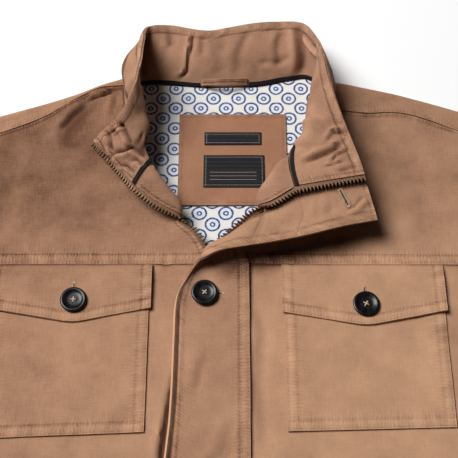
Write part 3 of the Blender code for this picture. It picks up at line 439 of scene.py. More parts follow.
LEFT_YOKE = as_rows(FRONT_COLUMNS, (
    ((-2, 0, 6.2), (-36, 0, 5.4), (-58, 0, 5.2), (-80, 0, 5.1), (-150, 0, 5), (-262, 0, 2.4)),
    ((-8, 15, 10.6), (-34, 13, 8), (-56, 12, 6.6), (-80, 11, 5.7), (-150, 12, 5.2), (-259, 14, 2.4)),
    ((-20, 31, 17), (-38, 25, 12.5), (-58, 22, 9), (-82, 20, 7), (-150, 24, 5.4), (-256, 28, 2.4)),
    ((-41, 40, 22), (-33, 50, 20.5), (-46, 45, 14), (-88, 33, 8), (-150, 36, 5.6), (-253, 42, 2.4)),
    ((-59, 50, 24.5), (-45, 66, 26), (-59, 61, 17.5), (-94, 47, 9), (-150, 44, 5.8), (-250, 52, 2.4)),
    ((-76, 64, 26), (-56, 80, 30), (-69, 77, 20.5), (-104, 62, 9.5), (-150, 52, 6), (-248, 62, 2.4)),
    ((-68, 79, 30), (-60, 87, 31), (-72, 84, 22.5), (-106, 76, 10), (-150, 66, 6.4), (-246, 72, 2.4)),
    ((-61.5, 90, 31.5), (-70, 91, 28.5), (-82, 91, 22), (-110, 90, 10.5), (-150, 84, 7), (-245, 84, 2.4)),
    ((-69, 98, 29.5), (-77, 98.5, 26), (-88, 99, 20),
     (-113, 100, 10.8), (-151, 94, 7.2), (-244.5, 91, 2.4)),
    ((-79, 107, 25), (-86, 107, 22), (-96, 108, 17), (-116, 110, 11), (-152, 104, 7.5), (-244, 98, 2.4)),
    ((-88, 140, 17), (-96, 141, 15.5), (-105, 141, 14),
     (-122, 141, 12), (-155, 130, 8), (-242, 114, 2.4)),
    ((-89.5, 168, 13.5), (-97, 168, 13.6), (-107, 168, 13.5),
     (-124, 163, 12), (-160, 146, 8), (-240, 122, 2.5)),
    ((-92, 192, 10.5), (-100, 190, 12), (-112, 188, 13),
     (-132, 178.5, 12), (-165, 158.5, 7.5), (-238, 130.5, 2.7)),
))
ZIP_ROWS = 6
COLLAR_COLUMNS = ("base", "middle", "top")
COLLAR = as_rows(COLLAR_COLUMNS, (
    ((-76, 64, 26), (-99, 95, 22), (-118.5, 121, 16)),
    ((-68, 79, 30), (-90, 109, 31), (-108, 129, 25)),
    ((-61.5, 90, 31.5), (-76, 115, 37), (-97, 131, 38)),
    ((-69, 98, 29.5), (-68, 121, 38), (-87, 137, 51)),
    ((-79, 107, 25), (-65, 130, 36), (-80, 149, 59)),
    ((-88, 140, 17), (-71, 150, 36), (-75.5, 163, 63)),
    ((-89.5, 168, 13.5), (-81, 175, 39), (-72, 186, 64)),
    ((-89.5, 189, 8), (-91.5, 200, 34), (-71, 214, 54)),
    ((-76, 199, 2.2), (-77, 218, 24), (-69.5, 242.5, 38)),
    ((-53, 200, 2.0), (-51, 222, 19.5), (-48, 250, 31)),
    ((-18, 197, 2.0), (-16, 217, 19.5), (-12, 243.5, 31)),
    ((7, 197, 2.0), (9, 219, 19.5), (12, 247.5, 31)),
    ((39, 198, 2.0), (38, 222, 19.5), (38, 253, 31)),
    ((66, 204, 2.0), (64, 226, 19.5), (62, 254.5, 31)),
    ((90, 207, 2.2), (87, 226, 23), (83.5, 249, 36)),
    ((102, 192, 7), (99, 204, 32), (94.5, 220.5, 52)),
    ((105, 166, 11), (93, 178, 35), (100, 190, 64)),
    ((99, 137, 16), (86, 150, 34), (104.5, 163, 61)),
    ((86, 118, 25), (86, 128, 38), (110, 141, 58)),
    ((70, 104, 34), (95, 105, 43), (120, 110, 52.5)),
    ((66, 83, 37), (98.5, 83, 43), (128.5, 86, 46.5)),
    ((71, 56.5, 36), (102.5, 61.5, 40), (134, 66, 43)),
))
FLAP_COLUMNS = ("place", "edge", "lift", "root")
FLAP_ROWS = as_rows(FLAP_COLUMNS, (
    (0.0, (-37, HEM_Y, 8.8), 2.3, 31),
    (0.35, (-38, -390, 8.8), 2.3, 31),
    (0.68, (-39, -193, 8.8), 2.3, 31),
    (0.8, (-36, -121, 8.8), 2.3, 31),
    (0.91, (-35, -57, 8.9), 2.4, 31),
    (0.96, (-34, -31, 9.8), 3.4, 31),
    (1.0, (-25, -14.5, 15.5), 3.7, 31),
    (1.2, (-12, -4.5, 24), 3.3, 29),
    (1.4, (3, 2, 29), 2.9, 22),
    (1.6, (22, 5, 31), 3.2, 11),
    (1.8, (44, 8.5, 31), 2.7, 9),
    (2.0, (67, 13, 31), 2.8, 10),
    (2.33, (90, 18.5, 31.5), 2.3, 14),
    (2.66, (118, 26, 32), 2.3, 17),
    (3.0, (150.5, 32, 32), 2.3, 17),
))
SHOULDERS = dict(
    left=((-93, 202, 11), (-114, 193, 12.5), (-133, 184, 12),
          (-165, 174, 8.5), (-200, 164, 5.5), (-238, 152, 3.2)),
    right=((106, 198, 11), (122, 195, 12.5), (140, 191, 11.5),
           (172, 185, 8.5), (205, 176, 5.5), (240, 165, 3.2)),
)
POCKETS = dict(
    left=dict(inner=-59.5, outer=-200.0, foot_in=-155.5, foot_out=-161.0, flap_in=-44.5,
              flap_point=-58.5, flap_out=-44.5, button=(-125.5, -37.5)),
    right=dict(inner=60.0, outer=200.5, foot_in=-155.0, foot_out=-151.0, flap_in=-48.5,
               flap_point=-61.5, flap_out=-47.0, button=(131.0, -41.5)),
)
YOKES = dict(left=LEFT_YOKE, right=RIGHT_YOKE)
SIGN = dict(left=-1, right=1)

# %% [markdown]
# ### Lines and panels
# A line is a rounded curve through a row's points that can be read at any distance along it. A panel is
# a grid of such points with the direction of the garment's inside at each, and it knows how far each
# point is from its four edges, in millimetres of cloth. Seams, stitches and the weave all read that.


# %% Lines through points
def bell(distance, wide):
    """1 at no distance, falling away smoothly to nothing at about twice the width."""
    return np.exp(-(distance / wide) ** 2)


def held(value, full):
    """A value's share of a full one, held between 0 and 1."""
    return np.clip(value / full, 0, 1)


def spread(*axes):
    """Numbers for each axis, spread over one grid of places."""
    return np.stack(np.broadcast_arrays(*axes), axis=-1).astype(float)


def along(points):
    """Distance from the first point to each point of a line."""
    steps = np.linalg.norm(np.diff(points, axis=0), axis=1)
    return np.concatenate([[0.0], np.cumsum(steps)])


def read(where, known, values):
    """Rows of values between known places, each column read on its own."""
    return np.stack([np.interp(where, known, values[:, k]) for k in range(values.shape[1])], axis=-1)


def hermite(knots, values, slopes, where, arriving=None):
    """Values between knots; arriving: the slopes at each stretch's far end, if they differ."""
    arriving = slopes if arriving is None else arriving
    i = np.clip(np.searchsorted(knots, where, side="right") - 1, 0, len(knots) - 2)
    wide = knots[i + 1] - knots[i]
    s = (where - knots[i]) / wide
    shape = (-1,) + (1,) * (values.ndim - 1)
    s, wide = s.reshape(shape), wide.reshape(shape)
    return ((1 + 2 * s) * (1 - s) ** 2 * values[i] + s * (1 - s) ** 2 * wide * slopes[i]
            + s * s * (3 - 2 * s) * values[i + 1] + s * s * (s - 1) * wide * arriving[i + 1])


def smooth(knots, values, where):
    """Values between knots, rounded through them."""
    knots, values, where = (np.asarray(a, float) for a in (knots, values, where))
    return hermite(knots, values, np.gradient(values, knots, axis=0), where)


def table_rows(table, columns, shares, corner=None):
    """Lines through a table's columns, at shares, 0 to 1, of the way through its rows.

    corner: the row where the first column turns sharply, if there is one.
    """
    values = np.array([[row[name] for name in columns] for row in table], float)
    knots = np.linspace(0, 1, len(table))
    slopes = np.gradient(values, knots, axis=0)
    arriving = slopes.copy()
    if corner is not None:
        arriving[corner, 0] = (values[corner, 0] - values[corner - 1, 0]) / knots[1]
        slopes[corner, 0] = (values[corner + 1, 0] - values[corner, 0]) / knots[1]
    return hermite(knots, values, slopes, np.asarray(shares, float), arriving)


class Line:
    """A rounded line through points, read at distances from its first point."""

    def __init__(self, points, dense=24):
        points = np.asarray(points, float)
        knots = along(points)
        slopes = np.gradient(points, knots, axis=0)
        slopes /= np.linalg.norm(slopes, axis=1, keepdims=True)
        where = np.linspace(0, len(points) - 1, dense * (len(points) - 1) + 1)
        self.points = hermite(knots, points, slopes, np.interp(where, range(len(points)), knots))
        self.reach = along(self.points)
        self.marks = self.reach[::dense]

    def at(self, distances):
        """Points at distances from the line's first point."""
        return read(distances, self.reach, self.points)


# %% Panels of cloth
def unit(vectors):
    """Vectors of length 1 with the same directions."""
    return vectors / np.maximum(np.linalg.norm(vectors, axis=-1, keepdims=True), 1e-9)


def eased(values, axis):
    """Each value averaged with its neighbours along one axis."""
    ends = [(1, 1) if k == axis else (0, 0) for k in range(values.ndim)]
    wide = np.moveaxis(np.pad(values, ends, mode="edge"), axis, 0)
    return np.moveaxis((wide[:-2] + 2 * wide[1:-1] + wide[2:]) / 4, 0, axis)


def grid_normals(points, passes=3):
    """The way straight out of a grid at each point, evened out over its neighbours."""
    found = unit(np.cross(np.gradient(points, axis=0), np.gradient(points, axis=1)))
    for axis in (0, 1) * passes:
        found = eased(found, axis)
    return unit(found)


class Panel:
    """A grid of points (rows, columns) with the way to the garment's inside at each."""

    def __init__(self, points, inward):
        self.points = np.asarray(points, float)
        self.inward = unit(np.asarray(inward, float))
        self.wash_and_shade = np.zeros(self.points.shape[:2])
        self.pull = np.zeros((*self.points.shape[:2], 2))
        self.grain = None
        self.measure()

    def measure(self):
        """Millimetres of cloth along each row (u) and up each column (v)."""
        across = np.linalg.norm(np.diff(self.points, axis=1), axis=2)
        up = np.linalg.norm(np.diff(self.points, axis=0), axis=2)
        self.u = np.concatenate([np.zeros((len(across), 1)), np.cumsum(across, axis=1)], axis=1)
        self.v = np.concatenate([np.zeros((1, up.shape[1])), np.cumsum(up, axis=0)], axis=0)

    def moved(self, distance):
        """The same cloth, further inside by a distance, with its own millimetres kept."""
        made = Panel(self.points + self.inward * np.asarray(distance, float)[..., None], self.inward)
        made.u, made.v = self.u, self.v
        return made

    def edge(self, side):
        """How far every point is from one edge, and how far along that edge."""
        return {"start": (self.u, self.v), "end": (self.u[:, -1:] - self.u, self.v),
                "foot": (self.v, self.u), "top": (self.v[-1:] - self.v, self.u)}[side]

    def line(self, side, distance):
        """The line at a distance from one edge: its points and the inward way at each."""
        away = self.edge(side)[0]
        points, inward = self.points, self.inward
        if side in ("foot", "top"):
            away, points, inward = away.T, points.transpose(1, 0, 2), inward.transpose(1, 0, 2)
        found = []
        for reach, p, n in zip(away, points, inward):
            order = np.argsort(reach)
            found.append(read(distance, reach[order], np.hstack([p, n])[order]))
        found = np.array(found)
        return found[:, :3], unit(found[:, 3:])


# %% The fronts' and the collar's form
STRETCHES = (("end", "crest", (0.0, 0.3, 0.6, 0.82)), ("crest", "under", (0.0, 0.25, 0.6)),
             ("under", "rise", (0.0, 0.5)), ("rise", "chest", (0.0, 0.4)), ("chest", "side", (0.0, 0.5, 1.0)))
COARSE_YS = np.array([HEM_Y, -340, -161, -120, UNDERARM_Y, -57, -40, -24, -12, 0])
ARMHOLE_YS = (HEM_Y, UNDERARM_Y, -57, -40, -24, -12, 0)
ARMHOLE_XS = (HEM_X, 284.0, 273.5, 268.5, 265, 263.2, 262)
COARSE_ROWS = 19


def armhole_x(y):
    """How far out the body's edge is at a height below the yoke seam."""
    return float(np.interp(y, ARMHOLE_YS, ARMHOLE_XS))


def corner_share(side):
    """How far up a yoke's rows the zip's corner is."""
    return (ZIP_ROWS - 1) / (len(YOKES[side]) - 1)


def yoke_lines(side, shares):
    """A yoke's lines of cloth, at shares of the way up it."""
    return [Line(points) for points in table_rows(YOKES[side], FRONT_COLUMNS, shares, ZIP_ROWS - 1)]


def front_lines(side, ys):
    """A front's lines of cloth below the yoke seam, at heights."""
    lines = []
    for y in ys:
        points = np.array([YOKES[side][0][name] for name in FRONT_COLUMNS], float)
        points[-1, 0] = SIGN[side] * armhole_x(y)
        points[:, 1] = y
        lines.append(Line(points))
    return lines


def stretch_distances(line):
    """Distances along a front's line at which its inward way is worked out."""
    marks = dict(zip(FRONT_COLUMNS, line.marks))
    return np.array([marks[a] + (marks[b] - marks[a]) * share
                     for a, b, shares in STRETCHES for share in shares])


COARSE_SHARES = {}
COARSE_NORMALS = {}
for side, sign in SIGN.items():
    corner = corner_share(side)
    below = int(round(corner * COARSE_ROWS))
    COARSE_SHARES[side] = np.concatenate([np.linspace(0, corner, below + 1),
                                          np.linspace(corner, 1, COARSE_ROWS + 1 - below)[1:]])
    for part, lines in (("yoke", yoke_lines(side, COARSE_SHARES[side])),
                        ("front", front_lines(side, COARSE_YS))):
        grid = np.array([line.at(stretch_distances(line)) for line in lines])
        COARSE_NORMALS[side, part] = sign * grid_normals(grid)


def front_panel(side, part, places, distances):
    """Cloth of a front: one row for each place, its columns at distances from the row's end.

    places: heights y below the yoke seam, or shares of the way up the yoke above it.
    """
    lines = front_lines(side, places) if part == "front" else yoke_lines(side, places)
    coarse_places = COARSE_YS if part == "front" else COARSE_SHARES[side]
    coarse = COARSE_NORMALS[side, part].reshape(len(coarse_places), -1)
    points, inward = [], []
    for place, line, reach in zip(places, lines, distances(lines)):
        points.append(line.at(reach))
        inward.append(read(reach, stretch_distances(line), read(place, coarse_places, coarse).reshape(-1, 3)))
    return Panel(points, inward)


COLLAR_HEIGHTS = np.array((0.0, 0.12, 0.33, 0.56, 0.8, 1.0))
COARSE_ROUND = np.linspace(0, 1, 221)
COLLAR_TRIM = 0.35


def collar_points(shares, heights):
    """Points of the collar's outer wall: a row for each share of the way round, a column for each height."""
    lines = [Line(points) for points in table_rows(COLLAR, COLLAR_COLUMNS, shares)]
    heights = np.asarray(heights, float)
    return np.array([line.at(COLLAR_TRIM + (line.reach[-1] - COLLAR_TRIM) * heights) for line in lines])


COLLAR_NORMALS = grid_normals(collar_points(COARSE_ROUND, COLLAR_HEIGHTS))
COLLAR_ROUND = along(collar_points(COARSE_ROUND, (0.5,))[:, 0])


def collar_panel(shares, heights):
    """Cloth of the collar's outer wall: a row for each share of the way round."""
    coarse = read(shares, COARSE_ROUND, COLLAR_NORMALS.reshape(len(COARSE_ROUND), -1))
    inward = [read(heights, COLLAR_HEIGHTS, row.reshape(-1, 3)) for row in coarse]
    return Panel(collar_points(shares, heights), inward)


def collar_share(distance, side):
    """Share of the way round the collar at distances from one of its front ends."""
    distance = distance if side == "left" else COLLAR_ROUND[-1] - np.asarray(distance)
    return np.interp(distance, COLLAR_ROUND, COARSE_ROUND)


print("collar is", round(COLLAR_ROUND[-1]), "mm round;",
      "left front is", round(yoke_lines("left", [0.0])[0].reach[-1]), "mm wide")

# %% [markdown]
# ## Creases, puckers and swell
# Washed cotton is never flat. Three kinds of relief are worked out as sums of simple shapes: soft swells
# from smooth noise, creases listed as troughs with a raised lip beside them, and the puckers that
# a stitched seam draws up across itself. Each gives millimetres of height, and the puckers also say how
# pale the wash has left the cloth.


# %% Smooth noise and creases
def noise(places, size, seed):
    """Smooth random values, -1 to 1, that change over about size mm; places end in 1, 2 or 3 numbers."""
    places = np.asarray(places, float) / size
    low = np.floor(places).astype(np.int64)
    share = places - low
    share = share * share * (3 - 2 * share)
    total = np.zeros(places.shape[:-1])
    for corner in np.ndindex(*(2,) * places.shape[-1]):
        key = np.full(total.shape, seed * 7919 + 13, np.int64)
        weight = np.ones(total.shape)
        for k, step in enumerate(corner):
            key = (key * 31 + (low[..., k] + step) * (73856093, 19349663, 83492791)[k]) & 0x7FFFFFFF
            key = (key ^ (key >> 13)) * 1274126177 & 0x7FFFFFFF
            weight = weight * (share[..., k] if step else 1 - share[..., k])
        total += weight * ((key & 0xFFFF) / 32767.5 - 1)
    return total


def rolling(places, size, seed):
    """Two sizes of smooth noise, the second turned, so that no lattice shows."""
    turned = places @ np.array([[0.8, 0.6], [-0.6, 0.8]]) if places.shape[-1] == 2 else places[..., ::-1]
    return 0.65 * noise(places, size, seed) + 0.35 * noise(turned, size * 0.47, seed + 1)


def crease(places, line, wide, deep, lip=0.35, seed=0):
    """Depth of one crease at 2-D places: a trough along a line, uneven, fading at its ends."""
    line = np.asarray(line, float)
    marks = along(line)
    best = np.full(places.shape[:-1], 1e9)
    where, side_of = np.zeros(best.shape), np.zeros(best.shape)
    for a, b, start in zip(line, line[1:], marks):
        step = b - a
        share = held((places - a) @ step, step @ step)
        gap = places - (a + share[..., None] * step)
        reach = np.linalg.norm(gap, axis=-1)
        nearer = reach < best
        best = np.where(nearer, reach, best)
        where = np.where(nearer, start + share * np.linalg.norm(step), where)
        side_of = np.where(nearer, np.sign(gap[..., 0] * step[1] - gap[..., 1] * step[0]), side_of)
    signed = best * side_of + wide * 0.5 * noise(where[..., None], wide * 4, seed + 5)
    share = where / marks[-1]
    taper = np.clip(np.minimum(share, 1 - share) * 5 + 0.25, 0, 1)
    uneven = taper * (1 + 0.35 * noise(where[..., None], wide * 5, seed + 9))
    end_gap = np.where((share <= 0) | (share >= 1), best, 0.0)
    fade = bell(end_gap, wide * 1.2)
    trough = bell(signed, wide)
    ridge = bell(signed - 1.9 * wide, 1.1 * wide)
    return deep * uneven * fade * (trough - lip * ridge)


def creases(places, table):
    """Depth of a whole table of creases."""
    return sum(crease(places, seed=number * 17, **row) for number, row in enumerate(table))


# %% Stitched seams
def seam(panel, side, rows, seed, rise=0.45, draw=0.3, beyond=6.0, line=0.30, share=1.0):
    """Relief of a stitched edge, and how pale it is: a raised band, grooves at the stitches, puckers across.

    rows: how far its stitches are from the edge. rise: how proud its band stands. draw: how strongly it
    puckers, fading over `beyond`. line: how dark its outer groove is. share: how much of all this each
    point has. The panel's pull is marked too, for the finest puckers.
    """
    away, run = panel.edge(side)
    width = max(rows) + 1.2
    band = 0.5 - 0.5 * np.tanh((away - width) / 1.4)
    groove = sum(bell(away - row, 0.8) for row in rows)
    reach = np.where(away < width, 1.0, np.exp(-(away - width) / beyond))
    places = np.stack([run + 0.25 * away, away * 0.16], axis=-1)
    pucker = (0.45 * noise(places, 3.2, seed) + 0.6 * noise(places, 5.6, seed + 3)) * reach
    pucker = pucker * (0.75 + 0.5 * noise(run[..., None], 37.0, seed + 7))
    height = rise * band - 0.32 * groove * band + draw * pucker
    wash_and_shade = 0.26 * pucker * reach - 0.26 * groove * (0.6 + 0.4 * noise(run[..., None], 2.2, seed + 11))
    dark_line = bell(away - width - 0.4, 0.7) + 0.2 * bell(away, 0.7)
    axis = 0 if side in ("foot", "top") else 1
    panel.pull[..., axis] = np.maximum(panel.pull[..., axis], reach * share * draw / 0.3)
    return height * share, (wash_and_shade + 0.05 * band - line * dark_line) * share


def sew(panel, seen, seams):
    """Adds seams' relief to a panel; seen is 1 where its inner face shows and -1 where its outer one does."""
    for row in seams:
        height, wash_and_shade = seam(panel, **row)
        panel.points = panel.points + panel.inward * (seen * height)[..., None]
        panel.wash_and_shade = panel.wash_and_shade + wash_and_shade
    return panel


# %% The body's swell
# A crease's lip, the ridge beside it, is left out where it is the usual one.
CREASE_COLUMNS = ("wide", "deep", "line", "lip")
BODY_CREASES = as_rows(CREASE_COLUMNS, (
    (9.0, 2.6, ((-123, 171), (-135, 148), (-147, 122))),
    (3.0, 1.5, ((-99, 186), (-101, 152))),
    (1.8, 2.8, ((-100, 184), (-112, 179), (-127, 172)), 0.7),
    (3.0, 2.2, ((-126, 170), (-139, 157), (-150, 140)), 0.5),
    (9.0, 1.5, ((-86, 150), (-104, 118), (-128, 84))),
    (5.5, 2.0, ((36, -38), (43, -66), (38, -112), (42, -165))),
    (4.0, 1.6, ((-52, 3), (-38, -6), (-26, -12))),
    (3.0, 4.8, ((-37, -112), (-40.5, -140), (-43.5, -170), (-46.5, -220), (-47.5, -300), (-45.5, -380)), 0.3),
    (5.0, 1.3, ((12, -165), (5, -205))),
    (9.0, 1.6, ((52, -170), (96, -188), (150, -182))),
    (10.0, 1.8, ((-64, -178), (-118, -196), (-178, -186))),
    (12.0, 1.8, ((120, 152), (131, 118), (136, 92))),
    (13.0, 1.6, ((176, 118), (196, 76), (203, 28))),
    (12.0, 1.8, ((-186, 96), (-204, 52), (-206, 14))),
    (12.0, 1.9, ((232, -30), (214, -74), (220, -140))),
    (12.0, 1.9, ((-236, -26), (-218, -80), (-228, -150))),
    (12.0, 2.0, ((60, -240), (108, -262), (196, -250))),
    (12.0, 2.0, ((-60, -252), (-130, -270), (-222, -236))),
    (14.0, 2.0, ((100, -330), (180, -356), (262, -330))),
    (14.0, 2.0, ((-88, -352), (-170, -340), (-256, -372))),
    (14.0, 1.8, ((50, -430), (132, -452), (220, -430))),
    (14.0, 1.8, ((-70, -440), (-150, -470), (-240, -448))),
    (13.0, 1.6, ((80, -530), (170, -508), (262, -540))),
    (13.0, 1.6, ((-60, -520), (-160, -545), (-250, -520))),
))
# How much darker a crease's trough is drawn: partly wear, partly painted shade.
CREASE_WEAR_AND_SHADE = 0.04
# Painted shadow in the gap between the left front and the storm flap's free edge.
FLAP_GAP_SHADOW = ((-36, -100), (-38.5, -120), (-40.8, -140), (-43.6, -170), (-46, -200), (-47.5, -240),
            (-47.5, -300), (-45.5, -380))


def painted_lapel_shadow(x, y):
    """Painted shadow under the turned lapel: how much darker the cloth is drawn there, at x and y."""
    middle = np.interp(x, (-10, 20, 60, 110), (-13, -5, 8, 19))
    ends = held(x + 5, 20) * held(135 - x, 20)
    return 0.48 * bell(y - middle, 10.5) * ends


def swell(points, folded=None):
    """How far the body's cloth lies below its even form, in mm; folded is its creases alone, if known."""
    places = points[..., :2]
    depth = creases(places, BODY_CREASES) if folded is None else folded.copy()
    depth += 0.55 * rolling(places, 46.0, 3) + 0.28 * rolling(places * (1.0, 0.7), 19.0, 21)
    depth += 0.10 * rolling(places, 7.5, 33)
    room = np.clip((points[..., 2] - 1.6) / 3.0, 0.15, 1.0)
    return np.where(depth > 0, depth * room, depth)


def settled(panel):
    """A body's panel, lowered by the swell; darker towards the shoulders and the upper left, with painted
    shade in its creases.
    """
    panel.grain = panel.points[..., :2].copy()
    x, y, z = np.moveaxis(panel.points, -1, 0)
    folded = creases(panel.grain, BODY_CREASES)
    # Darker towards the shoulders, paler towards the hem and the right, and darker again at the upper left.
    panel.wash_and_shade = panel.wash_and_shade + 0.01 - 0.17 * np.tanh((y - 15) / 60) + 0.0009 * np.clip(x, -160, 160)
    panel.wash_and_shade = panel.wash_and_shade - 0.04 * held(-x, 90) * held(y, 40)
    # Painted shade in the creases, on top of their wear, and painted shadow under the turned lapel.
    panel.wash_and_shade = panel.wash_and_shade - CREASE_WEAR_AND_SHADE * np.clip(folded, -2, 5) - painted_lapel_shadow(x, y)
    # Painted shadow in the gap beside the storm flap's free edge.
    panel.wash_and_shade = panel.wash_and_shade - crease(panel.grain, FLAP_GAP_SHADOW, wide=2.0, deep=1.7, lip=0.0)
    panel.points[..., 2] = np.maximum(z - swell(panel.points, folded), BACK_Z + CLOTH)
    return panel


# %% [markdown]
# ## Making a piece of cloth
# Blender's grid primitive gives the faces and the UV map's layout. Its corners are then placed on the
# panel, the UV map is laid out in real metres of cloth so that the weave keeps its size, and Solidify
# gives the cloth its thickness.


# %% Grid to cloth
def from_grid(name, panel, finish):
    """A mesh object from a panel, with its UV map in metres of cloth, and its wash and painted shade."""
    rows, columns = panel.points.shape[:2]
    pick()
    bpy.ops.mesh.primitive_grid_add(x_subdivisions=columns - 1, y_subdivisions=rows - 1, size=1.0)
    made = bpy.context.object
    made.name = made.data.name = name
    made.data.vertices.foreach_set("co", to_frame(panel.points).ravel())
    corner = np.empty(len(made.data.loops), int)
    made.data.loops.foreach_get("vertex_index", corner)
    grain = np.stack([panel.u, panel.v], axis=-1) if panel.grain is None else panel.grain
    flat = grain.reshape(-1, 2)[corner] * MM
    made.data.uv_layers["UVMap"].data.foreach_set("uv", flat.ravel())
    for label, values in (("wash_and_shade", panel.wash_and_shade), ("pull_across", panel.pull[..., 0]),
                          ("pull_along", panel.pull[..., 1])):
        made.data.attributes.new(label, "FLOAT", "POINT").data.foreach_set("value", values.ravel())
    made.data.materials.clear()
    made.data.materials.append(finish)
    return made


def thicken(made, thickness):
    """Gives cloth its thickness on both sides of its middle."""
    pick(made)
    solid = made.modifiers.new("thickness", "SOLIDIFY")
    solid.thickness = thickness * MM
    solid.offset = 0.0
    bpy.ops.object.modifier_apply(modifier=solid.name)
    bpy.ops.object.shade_smooth_by_angle(angle=math.radians(50))
    return made


def weld(made, distance=0.02):
    """Closes a piece where its own points meet."""
    pick(made)
    edit_all()
    bpy.ops.mesh.remove_doubles(threshold=distance * MM)
    bpy.ops.mesh.normals_make_consistent(inside=False)
    bpy.ops.object.mode_set(mode="OBJECT")
    return made


pieces = {}


def hang(made, slot, *nodes):
    """A finished piece rides with the garment and stands for CAD nodes, which it hides; slot is not used."""
    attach(made, "root")
    if nodes:
        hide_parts(*nodes)
    pieces[made.name] = made
    return made


def cut(name, panel, thickness, finish, slot):
    """One cut piece of cloth: its shell, and what it replaces.

    It stands for the CAD node that has its name without the last word, which says what it is made of.
    """
    made = hang(thicken(from_grid(name, panel, finish), thickness), slot, name.rsplit("_", 1)[0])
    return made


# %% [markdown]
# ### Stitches
# A lockstitch shows as a short thread that dips at both ends. One is modelled from a small sphere,
# stretched, and then laid along each seam's line every 3.2 mm, each copy with its own place and lean.

# %% One stitch and rows of them
STITCH_LONG, STITCH_PITCH, THREAD_R = 2.5, 3.2, 0.27
pick()
bpy.ops.mesh.primitive_uv_sphere_add(segments=4, ring_count=4, radius=1.0)
one_stitch = bpy.context.object
edit_all()
bpy.ops.transform.rotate(value=math.pi / 2, orient_axis="Y", center_override=(0, 0, 0))
bpy.ops.transform.resize(value=(STITCH_LONG / 2, THREAD_R, THREAD_R))
bpy.ops.object.mode_set(mode="OBJECT")
STITCH_SHAPE, STITCH_FACES = shape_of(one_stitch)


def copies(name, shape, faces, spots, ways, sides, ups, finish, stretch=None):
    """One mesh of many copies of a shape; each has a spot and its own three directions."""
    turns = np.stack([ways, sides, ups], axis=1)
    scale = np.ones((len(spots), 3)) if stretch is None else stretch
    points = np.einsum("vk,nk,nkj->nvj", shape, scale, turns) + spots[:, None]
    all_faces = [tuple(i + n * len(shape) for i in face) for n in range(len(spots)) for face in faces]
    mesh = bpy.data.meshes.new(name)
    mesh.from_pydata([tuple(p) for p in to_frame(points).reshape(-1, 3)], [], all_faces)
    mesh.materials.append(finish)
    mesh.shade_smooth()
    made = bpy.data.objects.new(name, mesh)
    bpy.context.scene.collection.objects.link(made)
    return made


def stitch_row(name, line, ways_up, finish=None, pitch=STITCH_PITCH, skip=2.0, seed=1, sink=0.05):
    """Stitches along a line on the cloth, from skip mm inside its ends."""
    reach = along(line)
    marks = np.arange(skip, reach[-1] - skip, pitch)
    spots = read(marks, reach, line)
    ups = unit(read(marks, reach, ways_up))
    ways = unit(read(marks + 0.8, reach, line) - spots)
    lean = 0.10 * noise(marks[:, None], 2.0, seed)
    sides = unit(np.cross(ups, ways))
    ways = unit(ways + lean[:, None] * sides)
    sides = unit(np.cross(ups, ways))
    ups = np.cross(ways, sides)
    spots = spots + ups * (-sink)
    return copies(name, STITCH_SHAPE, STITCH_FACES, spots, ways, sides, ups, finish or tan_thread)


def stitch(panel, seen, thickness, name, side, distances, seed=1, **more):
    """Rows of stitches on a panel's seen face, at distances from one edge, as one piece."""
    rows = []
    for number, distance in enumerate(distances):
        line, inward = panel.line(side, distance)
        up = inward * seen
        rows.append(stitch_row(f"{name}_{number}", line + up * thickness / 2, up, seed=seed + number, **more))
    return hang(joined(rows, name), "shell")


# %% [markdown]
# ## The two fronts and their yokes
# Each front is cut in two: a yoke from the shoulder down to a seam across the chest, and the body below
# it. The body is tucked under the yoke's double-stitched edge. Both are grids along the same lines of
# cloth, finer where the neck opens.


# %% Body of each front
FINE_TO_Y = -215.0
BODY_YS = np.concatenate([np.linspace(HEM_Y, FINE_TO_Y, 54)[:-1], np.linspace(FINE_TO_Y, -0.2, 112)])
BODY_COLUMNS = 104


def from_tape(lines):
    """Even distances along each line, from beside the zip's tape to its far end."""
    return [TAPE_WIDTH + (line.reach[-1] - TAPE_WIDTH) * np.linspace(0, 1, BODY_COLUMNS) for line in lines]


for side in SIGN:
    body = settled(front_panel(side, "front", BODY_YS, from_tape))
    away, run = body.edge("top")
    tuck = bell(away, 1.6)
    body.points[..., 2] -= 0.35 * tuck
    # Painted shade on the cloth tucked under the yoke's edge.
    body.wash_and_shade -= 0.5 * tuck
    body.points[..., 2] += 0.22 * noise(np.stack([run, away * 0.12], axis=-1), 5.0, 41) * np.exp(-away / 9.0)
    sew(body, -1, [dict(side="foot", rows=(18.0,), seed=51, rise=0.3),
                   dict(side="start", rows=(2.5,), seed=52)])
    cut(f"front_{side}_cloth", body, CLOTH, washed_canvas, "shell")
    stitch(body, -1, CLOTH, f"hem_stitch_{side}", "foot", (18.0,))
    stitch(body, -1, CLOTH, f"zip_stitch_{side}_body", "start", (2.5,))

# %% Yokes
YOKE_COLUMNS, YOKE_ROWS_BELOW, YOKE_ROWS_ABOVE, NECK_TRIM = 134, 62, 82, 0.35
EVEN_OVER = 9.0


def yoke_rows(side):
    """Shares of the way up a yoke, close together below the zip's corner and above it."""
    corner = corner_share(side)
    return np.concatenate([np.linspace(0, corner, YOKE_ROWS_BELOW + 1),
                           np.linspace(corner, 1, YOKE_ROWS_ABOVE + 1)[1:]])


def lean_over(inward, other, distances):
    """Turns a row's inward ways near a seam halfway towards its neighbour's, so that the two layers meet."""
    blend = np.clip(1 - distances / EVEN_OVER, 0, 1)[:, None] * 0.5
    return unit(inward * (1 - blend) + other * blend)


